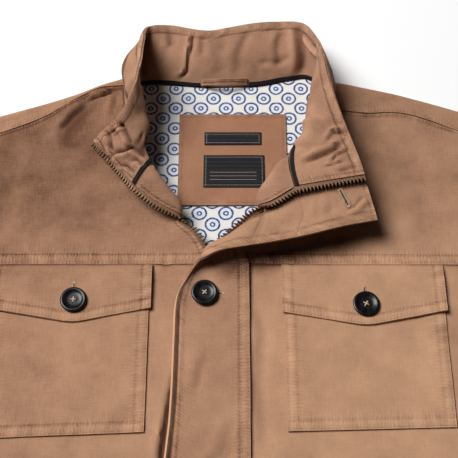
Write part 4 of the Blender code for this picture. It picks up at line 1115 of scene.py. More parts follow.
def yoke_panel(side, reach_of):
    """A yoke's cloth, and which of its rows end at the zip.

    reach_of: a line's distances, from where it starts beside the zip's tape or the neck seam.
    """
    places, corner = yoke_rows(side), corner_share(side)
    trims = np.interp(places, (corner, corner + 0.02), (TAPE_WIDTH, NECK_TRIM))
    kept = []

    def reaches(lines):
        kept.extend(reach_of(trim, line) for trim, line in zip(trims, lines))
        return kept

    panel = front_panel(side, "yoke", places, reaches)
    for k, place in enumerate(places):
        rows_up = place * (len(YOKES[side]) - 1) - (ZIP_ROWS - 1)
        if rows_up > 0:
            share = rows_up / (len(COLLAR) - 1)
            other = collar_panel([share if side == "left" else 1 - share], (0.0,)).inward[0, 0]
            panel.inward[k] = lean_over(panel.inward[k], other, kept[k])
    return panel, (places <= corner)[:, None]


for side in SIGN:
    panel, at_zip = yoke_panel(
        side, lambda trim, line: trim + (line.reach[-1] - trim) * np.linspace(0, 1, YOKE_COLUMNS) ** 1.15)
    shell = settled(Panel(panel.points, panel.inward))
    sew(shell, -1, [dict(side="foot", rows=(1.8, 8.4), seed=60, rise=0.5, draw=0.36),
                    dict(side="top", rows=(1.8,), seed=61, rise=0.35, draw=0.22),
                    dict(side="start", rows=(2.5,), seed=62, share=at_zip * 1.0)])
    # Painted shade along the neck seam, under the collar's foot.
    shell.wash_and_shade -= 0.6 * bell(shell.edge("start")[0], 1.2) * ~at_zip
    cut(f"yoke_{side}_cloth", shell, CLOTH, washed_canvas, "shell")
    stitch(shell, -1, CLOTH, f"yoke_stitch_{side}", "foot", (1.8, 8.4), seed=5)
    stitch(shell, -1, CLOTH, f"shoulder_stitch_{side}", "top", (1.8,), seed=8)

# %% [markdown]
# ## The facings
# Where the front is turned out, its facing shows: a second layer of the same cotton, its colour painted a
# little paler than the shell's, as if more light fell on it. It lies one step of cloth inside the yoke,
# along the yoke's own inward ways, so the two layers never cross.

# %% Facings
FACING_FLAT, FACING_COLUMNS, FACING_STITCH = (55, 250), 46, 1.7
for side in SIGN:
    panel, at_zip = yoke_panel(side, lambda trim, line: np.linspace(trim, line.marks[2], FACING_COLUMNS))
    panel = panel.moved(STEP)
    panel.measure()
    settled(panel)
    sew(panel, 1, [dict(side="start", rows=(FACING_STITCH,), seed=71, rise=0.4, draw=0.26,
                        share=at_zip * 1.0)])
    cut(f"facing_{side}_cloth", panel, CLOTH, paler_lit_facing_canvas, "shell")
    line, inward = panel.line("start", FACING_STITCH)
    line = line + inward * CLOTH / 2
    stop = int(at_zip.sum()) - 1
    hang(stitch_row(f"facing_stitch_{side}", line[:stop], inward[:stop], seed=9), "shell")

# %% [markdown]
# ## The stand collar
# The collar is one folded band: an outer and an inner layer that meet in a rolled top edge, topstitched
# 6.5 mm below it. It was pressed flat in the wash and has sprung open unevenly, so its inner face holds
# the sharpest creases of the whole garment. They are placed on the collar's own chart: millimetres round
# it from the left front end, and millimetres up it from the neck seam.

# %% The collar's creases
COLLAR_HIGH = 62.0
COLLAR_CREASES = as_rows(CREASE_COLUMNS, (
    (1.9, 2.7, ((208, 58), (206, 34), (205, 14), (198, 5)), 0.6),
    (3.4, 1.7, ((185, 57), (187, 38))),
    (3.0, 1.3, ((217, 57), (219, 34))),
    (6.0, 1.0, ((236, 46), (238, 12))),
    (5.0, 1.2, ((262, 55), (256, 30), (259, 12))),
    (3.2, 1.2, ((275, 24), (292, 20), (305, 25))),
    (4.2, 2.0, ((298, 52), (294, 14))),
    (4.6, 4.6, ((318, 57), (317, 28), (314, 4)), 0.6),
    (3.0, 4.0, ((322, 50), (336, 44), (352, 50)), 0.7),
    (6.5, 4.0, ((162, 57), (163, 26), (161, 6))),
    (2.2, 4.6, ((22, 57), (16, 46), (11, 37)), 0.5),
    (1.6, 2.4, ((24, 53), (38, 50)), 0.7),
    (1.9, 4.2, ((38, 54), (33, 41), (28, 28)), 1.0),
    (2.1, 5.2, ((9, 37), (18, 29), (27, 26), (31, 14), (35, 3)), 0.8),
    (2.8, 1.5, ((27, 26), (36, 26), (44, 28)), 0.4),
    (1.6, 2.4, ((4, 27), (11, 18), (15, 6)), 0.8),
    (1.8, 2.2, ((17, 17), (24, 12), (26, 3)), 0.8),
    (1.3, 1.7, ((6, 22), (13, 14)), 0.8),
    (1.8, 2.4, ((6, 52), (3, 40), (7, 33)), 0.6),
    (8.0, 1.7, ((30, 16), (40, 20), (50, 18)), 0.0),
    (5.0, 2.0, ((48, 50), (60, 30), (66, 8))),
    (6.0, 1.8, ((90, 54), (102, 30), (110, 8))),
    (1.9, 2.2, ((452, 60), (450, 47), (454, 36)), 1.0),
    (2.6, 2.8, ((462, 50), (466, 34), (473, 11)), 1.0),
    (1.5, 1.4, ((458, 57), (461, 46), (460, 38)), 0.8),
    (1.6, 1.6, ((466, 56), (470, 44), (476, 36)), 0.8),
    (1.5, 1.3, ((477, 48), (480, 30)), 0.8),
    (14.0, -9.5, ((422, 27), (438, 17), (458, 11)), 0.0),
    (6.0, 1.6, ((398, 50), (392, 20))),
    (2.4, 1.4, ((483, 58), (486, 40))),
    (3.4, 1.2, ((440, 50), (434, 34))),
))
# Painted shade on the collar's inner and outer faces, where they turn away from the light or lie under a roll.
INNER_PAINTED_SHADE = as_rows(CREASE_COLUMNS, (
    (26.0, 0.16, ((4, 60), (16, 34), (30, 12)), 0.0),
    (9.0, 0.42, ((26, 14), (36, 19), (52, 14)), 0.0),
    (4.5, 0.35, ((12, 52), (14, 42)), 0.0),
    (26.0, 0.2, ((404, 50), (430, 34), (470, 40)), 0.0),
))
OUTER_PAINTED_SHADE = as_rows(CREASE_COLUMNS, (
    (3.2, 1.3, ((132, 44), (126, 33), (121, 23), (115, 16), (98, 12)), 0.0),
    (24.0, 0.6, ((372, 34), (400, 30), (432, 34)), 0.0),
))


def collar_places(shares, heights):
    """The collar's own chart: millimetres round it and up it."""
    round_mm = np.interp(shares, COARSE_ROUND, COLLAR_ROUND)[:, None]
    up_mm = np.asarray(heights, float)[None] * COLLAR_HIGH
    return spread(round_mm, up_mm)


def collar_fold(shares, heights, even=True):
    """How far the collar's cloth stands outside its even form, in mm, over a grid of shares and heights.

    even: whether the soft swell is added to the creases.
    """
    places = collar_places(shares, heights)
    depth = creases(places, COLLAR_CREASES)
    if not even:
        return np.clip(depth, -2, 5)
    depth += 0.60 * rolling(places * (1.0, 0.45), 17.0, 81) + 0.30 * rolling(places * (1.0, 0.7), 7.0, 91)
    return depth * np.clip(np.asarray(heights) * COLLAR_HIGH / 6.0, 0, 1)[None]


# %% Collar layers
RIM_EASE, LEAF_BOW, LEAF_AT, LEAF_WIDE = 2.6, 22.0, 393, 26


def collar_layer(offset, count=330, columns=46):
    """One layer of the collar, at an offset inside its outer wall; the layers meet in the rolled rim."""
    outside = offset == 0
    shares = np.linspace(collar_share(TAPE_WIDTH, "left"), collar_share(TAPE_WIDTH, "right"), count)
    heights = np.linspace(0, 1, columns)
    panel = collar_panel(shares, heights)
    for k, share in enumerate(shares):
        for side, way_round in (("left", share), ("right", 1 - share)):
            place = (ZIP_ROWS - 1 + way_round * (len(COLLAR) - 1)) / (len(YOKES[side]) - 1)
            if place <= 1.0:
                other = read(place, COARSE_SHARES[side], COARSE_NORMALS[side, "yoke"][:, 0])
                panel.inward[k] = lean_over(panel.inward[k], other, panel.u[k])
    rim = np.clip(1 - panel.edge("end")[0] / RIM_EASE, 0, 1)
    shift = offset + (STEP / 2 - offset) * 0.72 * rim * rim
    round_mm = np.interp(shares, COARSE_ROUND, COLLAR_ROUND)[:, None]
    bow = bell(round_mm - LEAF_AT, LEAF_WIDE) * np.sin(math.pi * heights)[None] ** 0.8
    made = panel.moved(shift - collar_fold(shares, heights) - LEAF_BOW * bow * outside)
    made.measure()
    # Painted shade along the neck seam, where the collar's foot meets the yoke.
    made.wash_and_shade -= 0.7 * bell(made.edge("start")[0], 1.3)
    # Painted shade by the creases: the inner face darker in them, the outer face a little paler on them.
    made.wash_and_shade += (0.03 if outside else -0.085) * collar_fold(shares, heights, even=False)
    # Painted shade on the faces that turn from the light.
    made.wash_and_shade -= creases(collar_places(shares, heights), OUTER_PAINTED_SHADE if outside else INNER_PAINTED_SHADE)
    return made


outer = collar_layer(0.0)
sew(outer, -1, [dict(side="end", rows=(6.5,), seed=101, rise=0.35, draw=0.34, line=0.45),
                dict(side="foot", rows=(3.0,), seed=102, rise=0.2),
                dict(side="top", rows=(3.0,), seed=103, rise=0.2)])
cut("collar_outer_cloth", outer, CLOTH, washed_canvas, "shell")
stitch(outer, -1, CLOTH, "collar_rim_stitch_outside", "end", (6.5,), seed=11)
inner = collar_layer(STEP)
sew(inner, 1, [dict(side="end", rows=(6.5,), seed=111, rise=0.35, draw=0.34, line=0.4),
               dict(side="foot", rows=(2.2,), seed=112, rise=0.2),
               dict(side="top", rows=(2.2,), seed=113, rise=0.3)])
cut("collar_inner_cloth", inner, CLOTH, paler_lit_facing_canvas, "shell")
stitch(inner, 1, CLOTH, "collar_rim_stitch_inside", "end", (6.5,), seed=13)
for side, edge in (("left", "foot"), ("right", "top")):
    stitch(inner, 1, CLOTH, f"collar_front_stitch_{side}", edge, (2.2,), seed=15)

# %% [markdown]
# ### Neck tape and hanger loop
# A black herringbone tape covers the neck seam inside, and stops at the hanger loop, a folded strip of
# the shell cloth that is tacked at both ends and bows out between them.

# %% Tape and loop
TAPE_HEIGHTS, TAPE_FLAT, TAPE_THICK = (0.012, 0.069), (10, 222), 0.7
LOOP_ENDS_X = (-17.5, 30.5)
LOOP_HEIGHTS, LOOP_BOW, LOOP_RISE, LOOP_COLUMNS = (0.03, 0.125), 6.5, 1.5, 9


def share_at_x(x):
    """Share of the way round the collar where its back's foot is at x."""
    shares = np.linspace(0.35, 0.68, 60)
    return float(np.interp(x, collar_points(shares, (0.0,))[:, 0, 0], shares))


stops = [share_at_x(x) for x in LOOP_ENDS_X]
tape_spans = dict(left=(collar_share(TAPE_WIDTH, "left"), stops[0]),
                  right=(stops[1], collar_share(TAPE_WIDTH, "right")))
for side, (first, last) in tape_spans.items():
    shares, heights = np.linspace(first, last, 170), np.linspace(*TAPE_HEIGHTS, 6)
    strip = collar_panel(shares, heights)
    sway = 0.25 * rolling(strip.points[..., :2], 12.0, 7)
    strip = strip.moved(STEP + CLOTH / 2 + 0.75 - collar_fold(shares, heights) + sway)
    strip.measure()
    cut(f"neck_tape_{side}_twill", strip, TAPE_THICK, neck_twill, "tape")
shares = np.linspace(stops[0] + 0.002, stops[1] - 0.002, 64)
bow = np.sin(np.linspace(0, math.pi, len(shares)))[:, None] ** 0.7
strip = collar_panel(shares, np.linspace(*LOOP_HEIGHTS, LOOP_COLUMNS))
roll = 0.5 * np.cos(np.linspace(-1.2, 1.2, LOOP_COLUMNS))[None]
strip = strip.moved(STEP + CLOTH / 2 + 0.8 + LOOP_BOW * bow - roll)
strip.points[:, :, 2] += LOOP_RISE * bow
strip.measure()
sew(strip, 1, [dict(side=edge, rows=(1.0,), seed=seed, rise=0.1, draw=0.15, beyond=1.0)
               for edge, seed in (("start", 121), ("end", 122))])
cut("hanger_loop_cloth", strip, THIN, paler_lit_facing_canvas, "shell")
for edge, tack in (("start", "foot"), ("end", "top")):
    stitch(strip, 1, THIN, f"hanger_loop_stitch_{edge}", edge, (1.0,), pitch=2.6, seed=17)
    stitch(strip, 1, THIN, f"hanger_loop_tack_{edge}", tack, (1.2, 2.0, 2.8), pitch=1.1, skip=0.4, seed=19)

# %% [markdown]
# ## The zip
# Each half of the zip is a twill tape along the front's folded edge, with a chain of bronze teeth. One
# tooth is modelled from a cube: bevelled, then given the small nose that locks into the next one. The
# copies follow the edge from the hem, round the turned lapel, to the collar's top.


# %% The front's edge as a strip
def edge_panel(side, places, distances):
    """Cloth along a front's edge: one row for each place, its columns at distances from the teeth.

    A place counts the body as 0 to 1, the yoke as 1 to 2 and the collar as 2 to 3.
    """
    wanted = [np.asarray(distances(place), float) for place in places]
    body = [k for k, place in enumerate(places) if place <= 1]
    yoke = [k for k, place in enumerate(places) if 1 < place <= 2]
    rows, ways = [], []
    for chosen, part in ((body, "front"), (yoke, "yoke")):
        if chosen:
            at = np.array([places[k] for k in chosen])
            at = HEM_Y * (1 - at) if part == "front" else (at - 1) * corner_share(side)
            panel = front_panel(side, part, at, lambda lines: [wanted[k] for k in chosen])
            rows += list(panel.points)
            ways += list(panel.inward)
    for place, reach in zip(places, wanted):
        if place > 2:
            panel = collar_panel(collar_share(reach, side), (place - 2,))
            rows.append(panel.points[:, 0])
            ways.append(panel.inward[:, 0])
    made = Panel(rows, ways)
    lower = np.array([place <= 2 for place in places])
    made.points[lower, :, 2] -= swell(made.points[lower])
    for k in np.flatnonzero(~lower):
        shares = collar_share(wanted[k], side)
        made.points[k] -= made.inward[k] * collar_fold(shares, (places[k] - 2,))[:, :1]
    return made


def select_faces(made, wanted):
    """Opens a piece in edit mode with only the wanted faces selected."""
    bpy.ops.object.mode_set(mode="EDIT")
    bpy.ops.mesh.select_mode(type="FACE")
    bpy.ops.mesh.select_all(action="DESELECT")
    bpy.ops.object.mode_set(mode="OBJECT")
    for face in made.data.polygons:
        face.select = wanted(face)
    bpy.ops.object.mode_set(mode="EDIT")


EDGE_PLACES = np.concatenate([np.linspace(0, 0.64, 70)[:-1], np.linspace(0.64, 1, 108)[:-1],
                              np.linspace(1, 2, 72)[:-1], np.linspace(2, 3, 42)])

# %% One tooth
TOOTH_PITCH, TOOTH_WIDE, TOOTH_LONG, TOOTH_HIGH = 3.3, 1.7, 4.1, 2.3
NOSE_LONG, NOSE_SHARE = 0.9, (1.0, 0.62, 0.7)
pick()
bpy.ops.mesh.primitive_cube_add(size=1.0)
one_tooth = bpy.context.object
edit_all()
bpy.ops.transform.resize(value=(TOOTH_LONG, TOOTH_WIDE, TOOTH_HIGH))
bpy.ops.mesh.bevel(offset=0.35, segments=1, affect="EDGES")
bpy.ops.object.mode_set(mode="OBJECT")
select_faces(one_tooth, lambda face: face.normal.x > 0.95)
bpy.ops.mesh.extrude_region_move(TRANSFORM_OT_translate={"value": (NOSE_LONG, 0, 0)})
bpy.ops.transform.resize(value=NOSE_SHARE)
bpy.ops.object.mode_set(mode="OBJECT")
TOOTH_SHAPE, TOOTH_FACES = shape_of(one_tooth)
print("a tooth has", len(TOOTH_FACES), "faces")

# %% Tape and teeth
ZIP_TAPE_REACH, ZIP_TAPE_FLAT, ZIP_TAPE_THICK = (1.6, 6.6), (10, 775), 0.9
TOOTH_REACH = (0.0, 1.3, 2.6)


def zip_strip(side, reach):
    """A strip of the front's edge, midway between the layers that hold the zip."""
    return edge_panel(side, EDGE_PLACES, lambda place: reach).moved(STEP / 2)


for side in SIGN:
    strip = zip_strip(side, np.linspace(*ZIP_TAPE_REACH, 6))
    strip.measure()
    cut(f"zip_tape_{side}_twill", strip, ZIP_TAPE_THICK, zip_twill, "tape_tan")
    strip = zip_strip(side, TOOTH_REACH)
    middle = strip.points[:, 1]
    reach = along(middle)
    marks = np.arange(2.0, reach[-1] - 1.5, TOOTH_PITCH)
    if side == "right":
        marks = marks + TOOTH_PITCH / 2
    ups = unit(read(marks, reach, strip.inward[:, 1]))
    ways = unit(read(marks, reach, strip.points[:, 0] - strip.points[:, 2]))
    ways = unit(ways - ups * np.sum(ways * ups, axis=1, keepdims=True))
    lean = 0.06 * noise(marks[:, None], 2.0, 131)
    ways = unit(ways + lean[:, None] * np.cross(ups, ways))
    teeth = copies(f"zip_teeth_{side}_bronze", TOOTH_SHAPE, TOOTH_FACES, read(marks, reach, middle),
                   ways, np.cross(ups, ways), ups, bronze)
    teeth.data.shade_flat()
    hang(teeth, "brass", f"zip_teeth_{side}")
    print(len(marks), "teeth on the", side, "tape")

# %% [markdown]
# ## The storm flap
# The storm flap is two layers of cotton with an interlining, stitched to the right front beside the zip.
# Below the neck it lies flat over the zip, with its free edge curled up a little. Where the front starts to
# turn out it stands up beside the teeth, and higher up it lies beyond them and shows its underside. Its
# free edge has two rows of stitches, and it leaves its root with a curve.

# %% Storm flap
FLAP_PLACES = np.array([row["place"] for row in FLAP_ROWS])
FLAP_INSIDE = np.linspace(0, 1, 17)
FLAP_BEYOND = np.linspace(1, 0, 27)[:-1]
FLAP_PULL, STANDS_BY = 0.45, 4.0
FLAP_CREASES = as_rows(CREASE_COLUMNS, (
    (2.0, 1.4, ((117, 39), (125, 44), (133, 51)), 0.9),
    (5.0, 1.3, ((86, 39), (98, 36), (107, 40))),
    (5.0, 1.0, ((58, 30), (72, 27))),
    (5.0, 1.3, ((15, -148), (5, -174), (-6, -187))),
    (4.5, 0.9, ((-10, -88), (-15, -122))),
    (7.0, 1.2, ((10, -300), (-4, -330), (-8, -352))),
    (7.0, 1.1, ((-14, -440), (4, -470))),
))


def turning(place):
    """How much the flap stands up beside the teeth at a place, where the front begins to turn out."""
    return held(place - 1.2, 0.15) * held(2.0 - place, 0.4)


def flap_panel():
    """The flap's cloth: on the front from its root, then over a rounded path to its free edge."""
    roots, lifts, edges = ([row[name] for row in FLAP_ROWS] for name in ("root", "lift", "edge"))

    def across(place):
        """Distances from the teeth at which the flap lies on the front."""
        start = STANDS_BY * turning(place)
        return start + (np.interp(place, FLAP_PLACES, roots) - start) * FLAP_INSIDE

    strip = edge_panel("right", EDGE_PLACES, across)
    lift = smooth(FLAP_PLACES, lifts, EDGE_PLACES) + 2.8 * held(EDGE_PLACES - 1.3, 0.4)
    on_front = strip.moved(-lift[:, None])
    edges = smooth(FLAP_PLACES, edges, EDGE_PLACES)
    for _ in range(40):
        edges = eased(edges, 0)
    rows = []
    for place, line, edge in zip(EDGE_PLACES, on_front.points, edges):
        onward = unit(line[0] - line[2])
        over = unit(unit(edge - line[0]) + (0, 0, 0.5))
        onward = unit(onward + turning(place) * (over - onward))
        pull = line[0] + onward * np.linalg.norm(edge - line[0]) * FLAP_PULL
        s = FLAP_BEYOND[:, None]
        rows.append(np.concatenate([(1 - s) ** 2 * line[0] + 2 * s * (1 - s) * pull + s * s * edge, line]))
    rows = np.array(rows)
    ways = grid_normals(rows, 5)
    if np.sum(ways[:, -1] * strip.inward[:, -1]) < 0:
        ways = -ways
    return Panel(rows, ways)


flap = flap_panel()
places, away = flap.points[..., :2], flap.edge("start")[0]
y = flap.points[..., 1].copy()
# -1 where the flap's outside is seen, and 1 where it is turned and its underside is.
turned = held(EDGE_PLACES - 1.0, 0.25)[:, None] * 2 - 1
# Below the neck the free edge curls up, and further down the whole free half stands off and drifts.
free = np.clip(1 - away / 34.0, 0, 1)
curl = np.clip(1 - away / 5.2, 0, 1)
low = held(-16 - y, 34)
flap.points[..., 2] += (3.9 * curl ** 1.15 - 0.8 * bell(away - 5.4, 1.2)) * low
flap.points[..., 0] += (1.6 * curl - 3.0 * free) * low - 4.0 * free * held(-150 - y, 90)
flap.points[..., 2] += 3.0 * free ** 2 * held(-150 - y, 60)
ease = np.clip(1 - flap.edge("end")[0] / 14.0, 0, 1)[..., None]
sway = 0.45 * rolling(places, 34.0, 141) + 0.2 * rolling(places, 13.0, 143)
flap.points += flap.inward * sway[..., None] * (1 - ease)
flap.points -= flap.inward * (creases(places, FLAP_CREASES) * turned)[..., None]
sew(flap, turned, [dict(side="start", rows=(2.2, 7.4), seed=145, rise=0.35, draw=0.30),
                   dict(side="end", rows=(1.8, 7.8), seed=147, rise=0.5, draw=0.30),
                   dict(side="top", rows=(2.2,), seed=149, rise=0.3, draw=0.2)])
# The free edge is paler: worn by the wash, and a painted highlight on its lit side, with painted shade on
# the curled strip inside it. Painted shadow darkens the flap under the turned lapel and beside the teeth.
edge_wear_highlight_and_shade = 0.75 * bell(away, 0.9) - 0.34 * bell(away - 3.6, 1.8)
flap.wash_and_shade += edge_wear_highlight_and_shade * low + 0.05 * low + 0.10 * np.clip(turned, 0, 1)
flap.wash_and_shade -= painted_lapel_shadow(flap.points[..., 0], flap.points[..., 1]) * np.clip(-turned, 0, 1)
# Painted shadow in the gap beside the teeth.
past_teeth = away[:, [len(FLAP_BEYOND)]] - away
by_teeth = held(EDGE_PLACES - 1.4, 0.3)[:, None]
flap.wash_and_shade -= 0.8 * bell(past_teeth, 3.5) * by_teeth
cut("storm_flap_cloth", flap, DOUBLE, washed_canvas, "shell")
for face, seen in (("outside", -1), ("underside", 1)):
    stitch(flap, seen, DOUBLE, f"storm_flap_edge_stitch_{face}", "start", (2.2, 7.4), seed=21)
    stitch(flap, seen, DOUBLE, f"storm_flap_end_stitch_{face}", "top", (2.2,), seed=25)
stitch(flap, -1, DOUBLE, "storm_flap_root_stitch", "end", (1.8, 7.8), seed=23)

# %% [markdown]
# ## The back
# The back lies flat on the table. At each shoulder it wraps over the fold and comes forward to the
# yoke's shoulder seam, so it is made of three grids that are welded where they meet.

# %% Back
WRAP_FROM, SHOULDER_SEAM, BACK_IN, NECK_MARGIN = 7.0, 0.8, 1.4, 1.5
NECK_X = (-86.0, 98.0)
side_marks = {side: np.array([row["side"] for row in YOKES[side]], float) for side in SIGN}


def side_x(side, y):
    """How far out the front's edge is at a height, above or below the yoke seam."""
    if y <= 0:
        return SIGN[side] * armhole_x(y)
    return float(np.interp(y, side_marks[side][:, 1], side_marks[side][:, 0]))


def shoulder_folds(side, count=44):
    """Points (x, y, z) along a shoulder's fold."""
    table = np.array(sorted(SHOULDERS[side]), float)
    top = yoke_lines(side, [1.0])[0].points
    where = np.sort(np.linspace(top[0, 0] + SIGN[side] * 0.5, top[-1, 0], count))
    return np.c_[where, smooth(table[:, 0], table[:, 1:], where)]


def shoulder_path(side, x, y, z, rows=34):
    """A line of the back's cloth from the table over the fold (x, y, z) to the yoke's shoulder seam."""
    top = yoke_lines(side, [1.0])[0].points
    top = top[np.argsort(top[:, 0])]
    seam_y, seam_z = read(x, top[:, 0], top[:, 1:])
    seam_y += SHOULDER_SEAM
    line = Line([(x, y - WRAP_FROM, BACK_Z), (x, y - 1.8, BACK_Z + 0.7), (x, y, z * 0.55), (x, y - 2.2, z),
                 (x, (y + seam_y) / 2 - 0.5, (z + seam_z) / 2 + 0.4), (x, seam_y, seam_z)])
    path = line.at(line.reach[-1] * np.linspace(0, 1, rows))
    path[:, 2] = np.maximum(path[:, 2], BACK_Z)
    return path


folds = {side: shoulder_folds(side) for side in SIGN}
foot = collar_points(np.linspace(0.3, 0.7, 80), (0.0,))[:, 0]
foot = foot[np.argsort(foot[:, 0])]
tops = {side: [(x, y - WRAP_FROM) for x, y, z in folds[side]] for side in SIGN}
neck = [(x, float(np.interp(x, foot[:, 0], foot[:, 1])) + NECK_MARGIN) for x in np.linspace(*NECK_X, 30)]
all_tops = tops["left"] + neck + tops["right"]
first_x, last_x = all_tops[0][0], all_tops[-1][0]
columns = []
for x, top in all_tops:
    share = (x - first_x) / (last_x - first_x)
    ys = np.concatenate([np.linspace(HEM_Y, 0, 60)[:-1], np.linspace(0, top, 26)])
    xs = [(1 - share) * (side_x("left", y) + BACK_IN) + share * (side_x("right", y) - BACK_IN) for y in ys]
    xs[-1] = x
    columns.append([(*place, BACK_Z) for place in zip(xs, ys)])
grids = [Panel(columns, np.broadcast_to((0, 0, 1.0), np.shape(columns)))]
for side in SIGN:
    wrap = np.array([shoulder_path(side, *fold) for fold in folds[side]])
    wrap[:, :, 2] += 0.35 * rolling(wrap[..., :2], 21.0, 151) * held(wrap[..., 2] - 3, 5)
    grid = Panel(wrap, -grid_normals(wrap, 2))
    height, wash_and_shade = seam(grid, side="end", rows=(1.6,), seed=153, rise=0.7, draw=0.25, line=0.1)
    grid.points[..., 2] += height * held(wrap[..., 2] - 3, 3)
    grid.wash_and_shade += wash_and_shade
    grids.append(grid)
parts = [from_grid(f"back_part_{k}", grid, washed_canvas) for k, grid in enumerate(grids)]
back = weld(joined(parts, "back_cloth"))
hang(thicken(back, CLOTH), "shell", "back")
for side, grid in zip(SIGN, grids[1:]):
    stitch(grid, -1, CLOTH, f"shoulder_topstitch_{side}", "end", (1.6,), seed=27)
print("back_cloth:", len(back.data.polygons), "faces")

# %% [markdown]
# ## Lining, patch and labels
# Inside, the back neck is lined with the ring print. A patch of the shell's cotton is edge-stitched to
# it and carries two black woven labels. The labels bear no words: each has a stitched border, and the
# lower one has three plain stitched rules where its washing advice would be.

# %% Lining
LINING_X, LINING_FLAT, LINING_THICK = (-99.5, 107.5), (208, 214), 0.8
LINING_Z = CLOTH + GAP + THIN / 2
lining_foot = collar_panel(np.linspace(0.28, 0.74, 61), (0.0,)).moved(STEP + CLOTH / 2 + 0.4).points[:, 0, :2]
lining_foot = lining_foot[np.argsort(lining_foot[:, 0])]
xs = np.linspace(*LINING_X, 84)
lows = np.interp(xs, (-100, -60, 60, 108), (40, -10, -10, 40))
highs = np.interp(xs, lining_foot[:, 0], lining_foot[:, 1], left=150, right=150)
ys = lows + (highs - lows) * np.linspace(0, 1, 76)[:, None]
points = spread(xs, ys, LINING_Z)
places = points[..., :2]
points[..., 2] += 0.25 + 0.35 * rolling(places, 30.0, 161) + 0.12 * rolling(places, 9.0, 163)
lining = Panel(points, np.broadcast_to((0, 0, 1.0), points.shape))
lining.u, lining.v = points[..., 0] + 3.6, points[..., 1] + 4.0
cut("back_lining_cloth", lining, LINING_THICK, ring_lining, "lining")


# %% Patch and labels
SIDES = ("start", "end", "foot", "top")
PATCH_Z = CLOTH + 2 * GAP + THIN + THIN / 2
LABEL_Z = PATCH_Z + THIN + GAP + 0.35
LABEL_THICK = 0.7
LABELS = dict(upper=((-12.5, 42.0), (127.5, 141.5)), lower=((-13.0, 44.5), (80.5, 115.5)))


def flat_panel(x, y, z, step, seed, sway=0.3):
    """A small flat piece of cloth between two x and two y, with a slight sway."""
    xs, ys = (np.linspace(a, b, max(3, int((b - a) / step) + 1)) for a, b in (x, y))
    points = spread(xs[None], ys[:, None], z)
    points[..., 2] += sway * (0.5 + 0.5 * rolling(points[..., :2], 24.0, seed))
    return Panel(points, np.broadcast_to((0, 0, 1.0), points.shape))


patch = flat_panel((-37.0, 66.0), (61.5, 163.0), PATCH_Z + 0.3, 1.3, 171)
sew(patch, 1, [dict(side=edge, rows=(1.6,), seed=173 + k, rise=0.25, draw=0.16, beyond=3.0)
               for k, edge in enumerate(SIDES)])
cut("label_patch_cloth", patch, THIN, patch_canvas, "shell")
for edge in SIDES:
    stitch(patch, 1, THIN, f"patch_stitch_{edge}", edge, (1.6,), pitch=2.8, seed=29)
for name, (x, y) in LABELS.items():
    label = flat_panel(x, y, LABEL_Z, 1.0, 181, 0.35)
    for edge in SIDES[:2]:
        label.points[..., 2] -= 0.3 * bell(label.edge(edge)[0], 1.2)
    cut(f"label_{name}_damask", label, LABEL_THICK, label_damask, "label")
    for edge in SIDES[:2]:
        stitch(label, 1, LABEL_THICK, f"label_{name}_stitch_{edge}", edge, (0.8,),
               pitch=2.0, seed=31, finish=dark_thread)
    for edge in SIDES:
        stitch(label, 1, LABEL_THICK, f"label_{name}_border_{edge}", edge, (2.2,),
               pitch=2.2, skip=2.2, sink=0.12, seed=32, finish=grey_thread)
    if name == "lower":
        stitch(label, 1, LABEL_THICK, "label_lower_rules", "foot", (8.0, 12.0, 16.0),
               pitch=2.0, skip=7.0, sink=0.04, seed=34, finish=grey_thread)

# %% [markdown]
# ## Chest pockets
# A patch pocket is a bag with its edges turned in and double-stitched, and a pointed flap sewn into the
# yoke seam that falls over it. The bag stands a little proud where it was filled by its own seam
# allowances, and the flap rises over the bag's top.

# %% Pocket bags and flaps
POCKET_TOP_Y, FLAP_SPARE, RISEN = -14.0, 2.0, 0.19
UPWARD = np.array((0, 0, -1.0))


def height_on(side, x):
    """Height of a front's cloth at x, below the yoke seam."""
    points = front_lines(side, [0.0])[0].points
    order = np.argsort(points[:, 0])
    return np.interp(x, points[order, 0], points[order, 2])


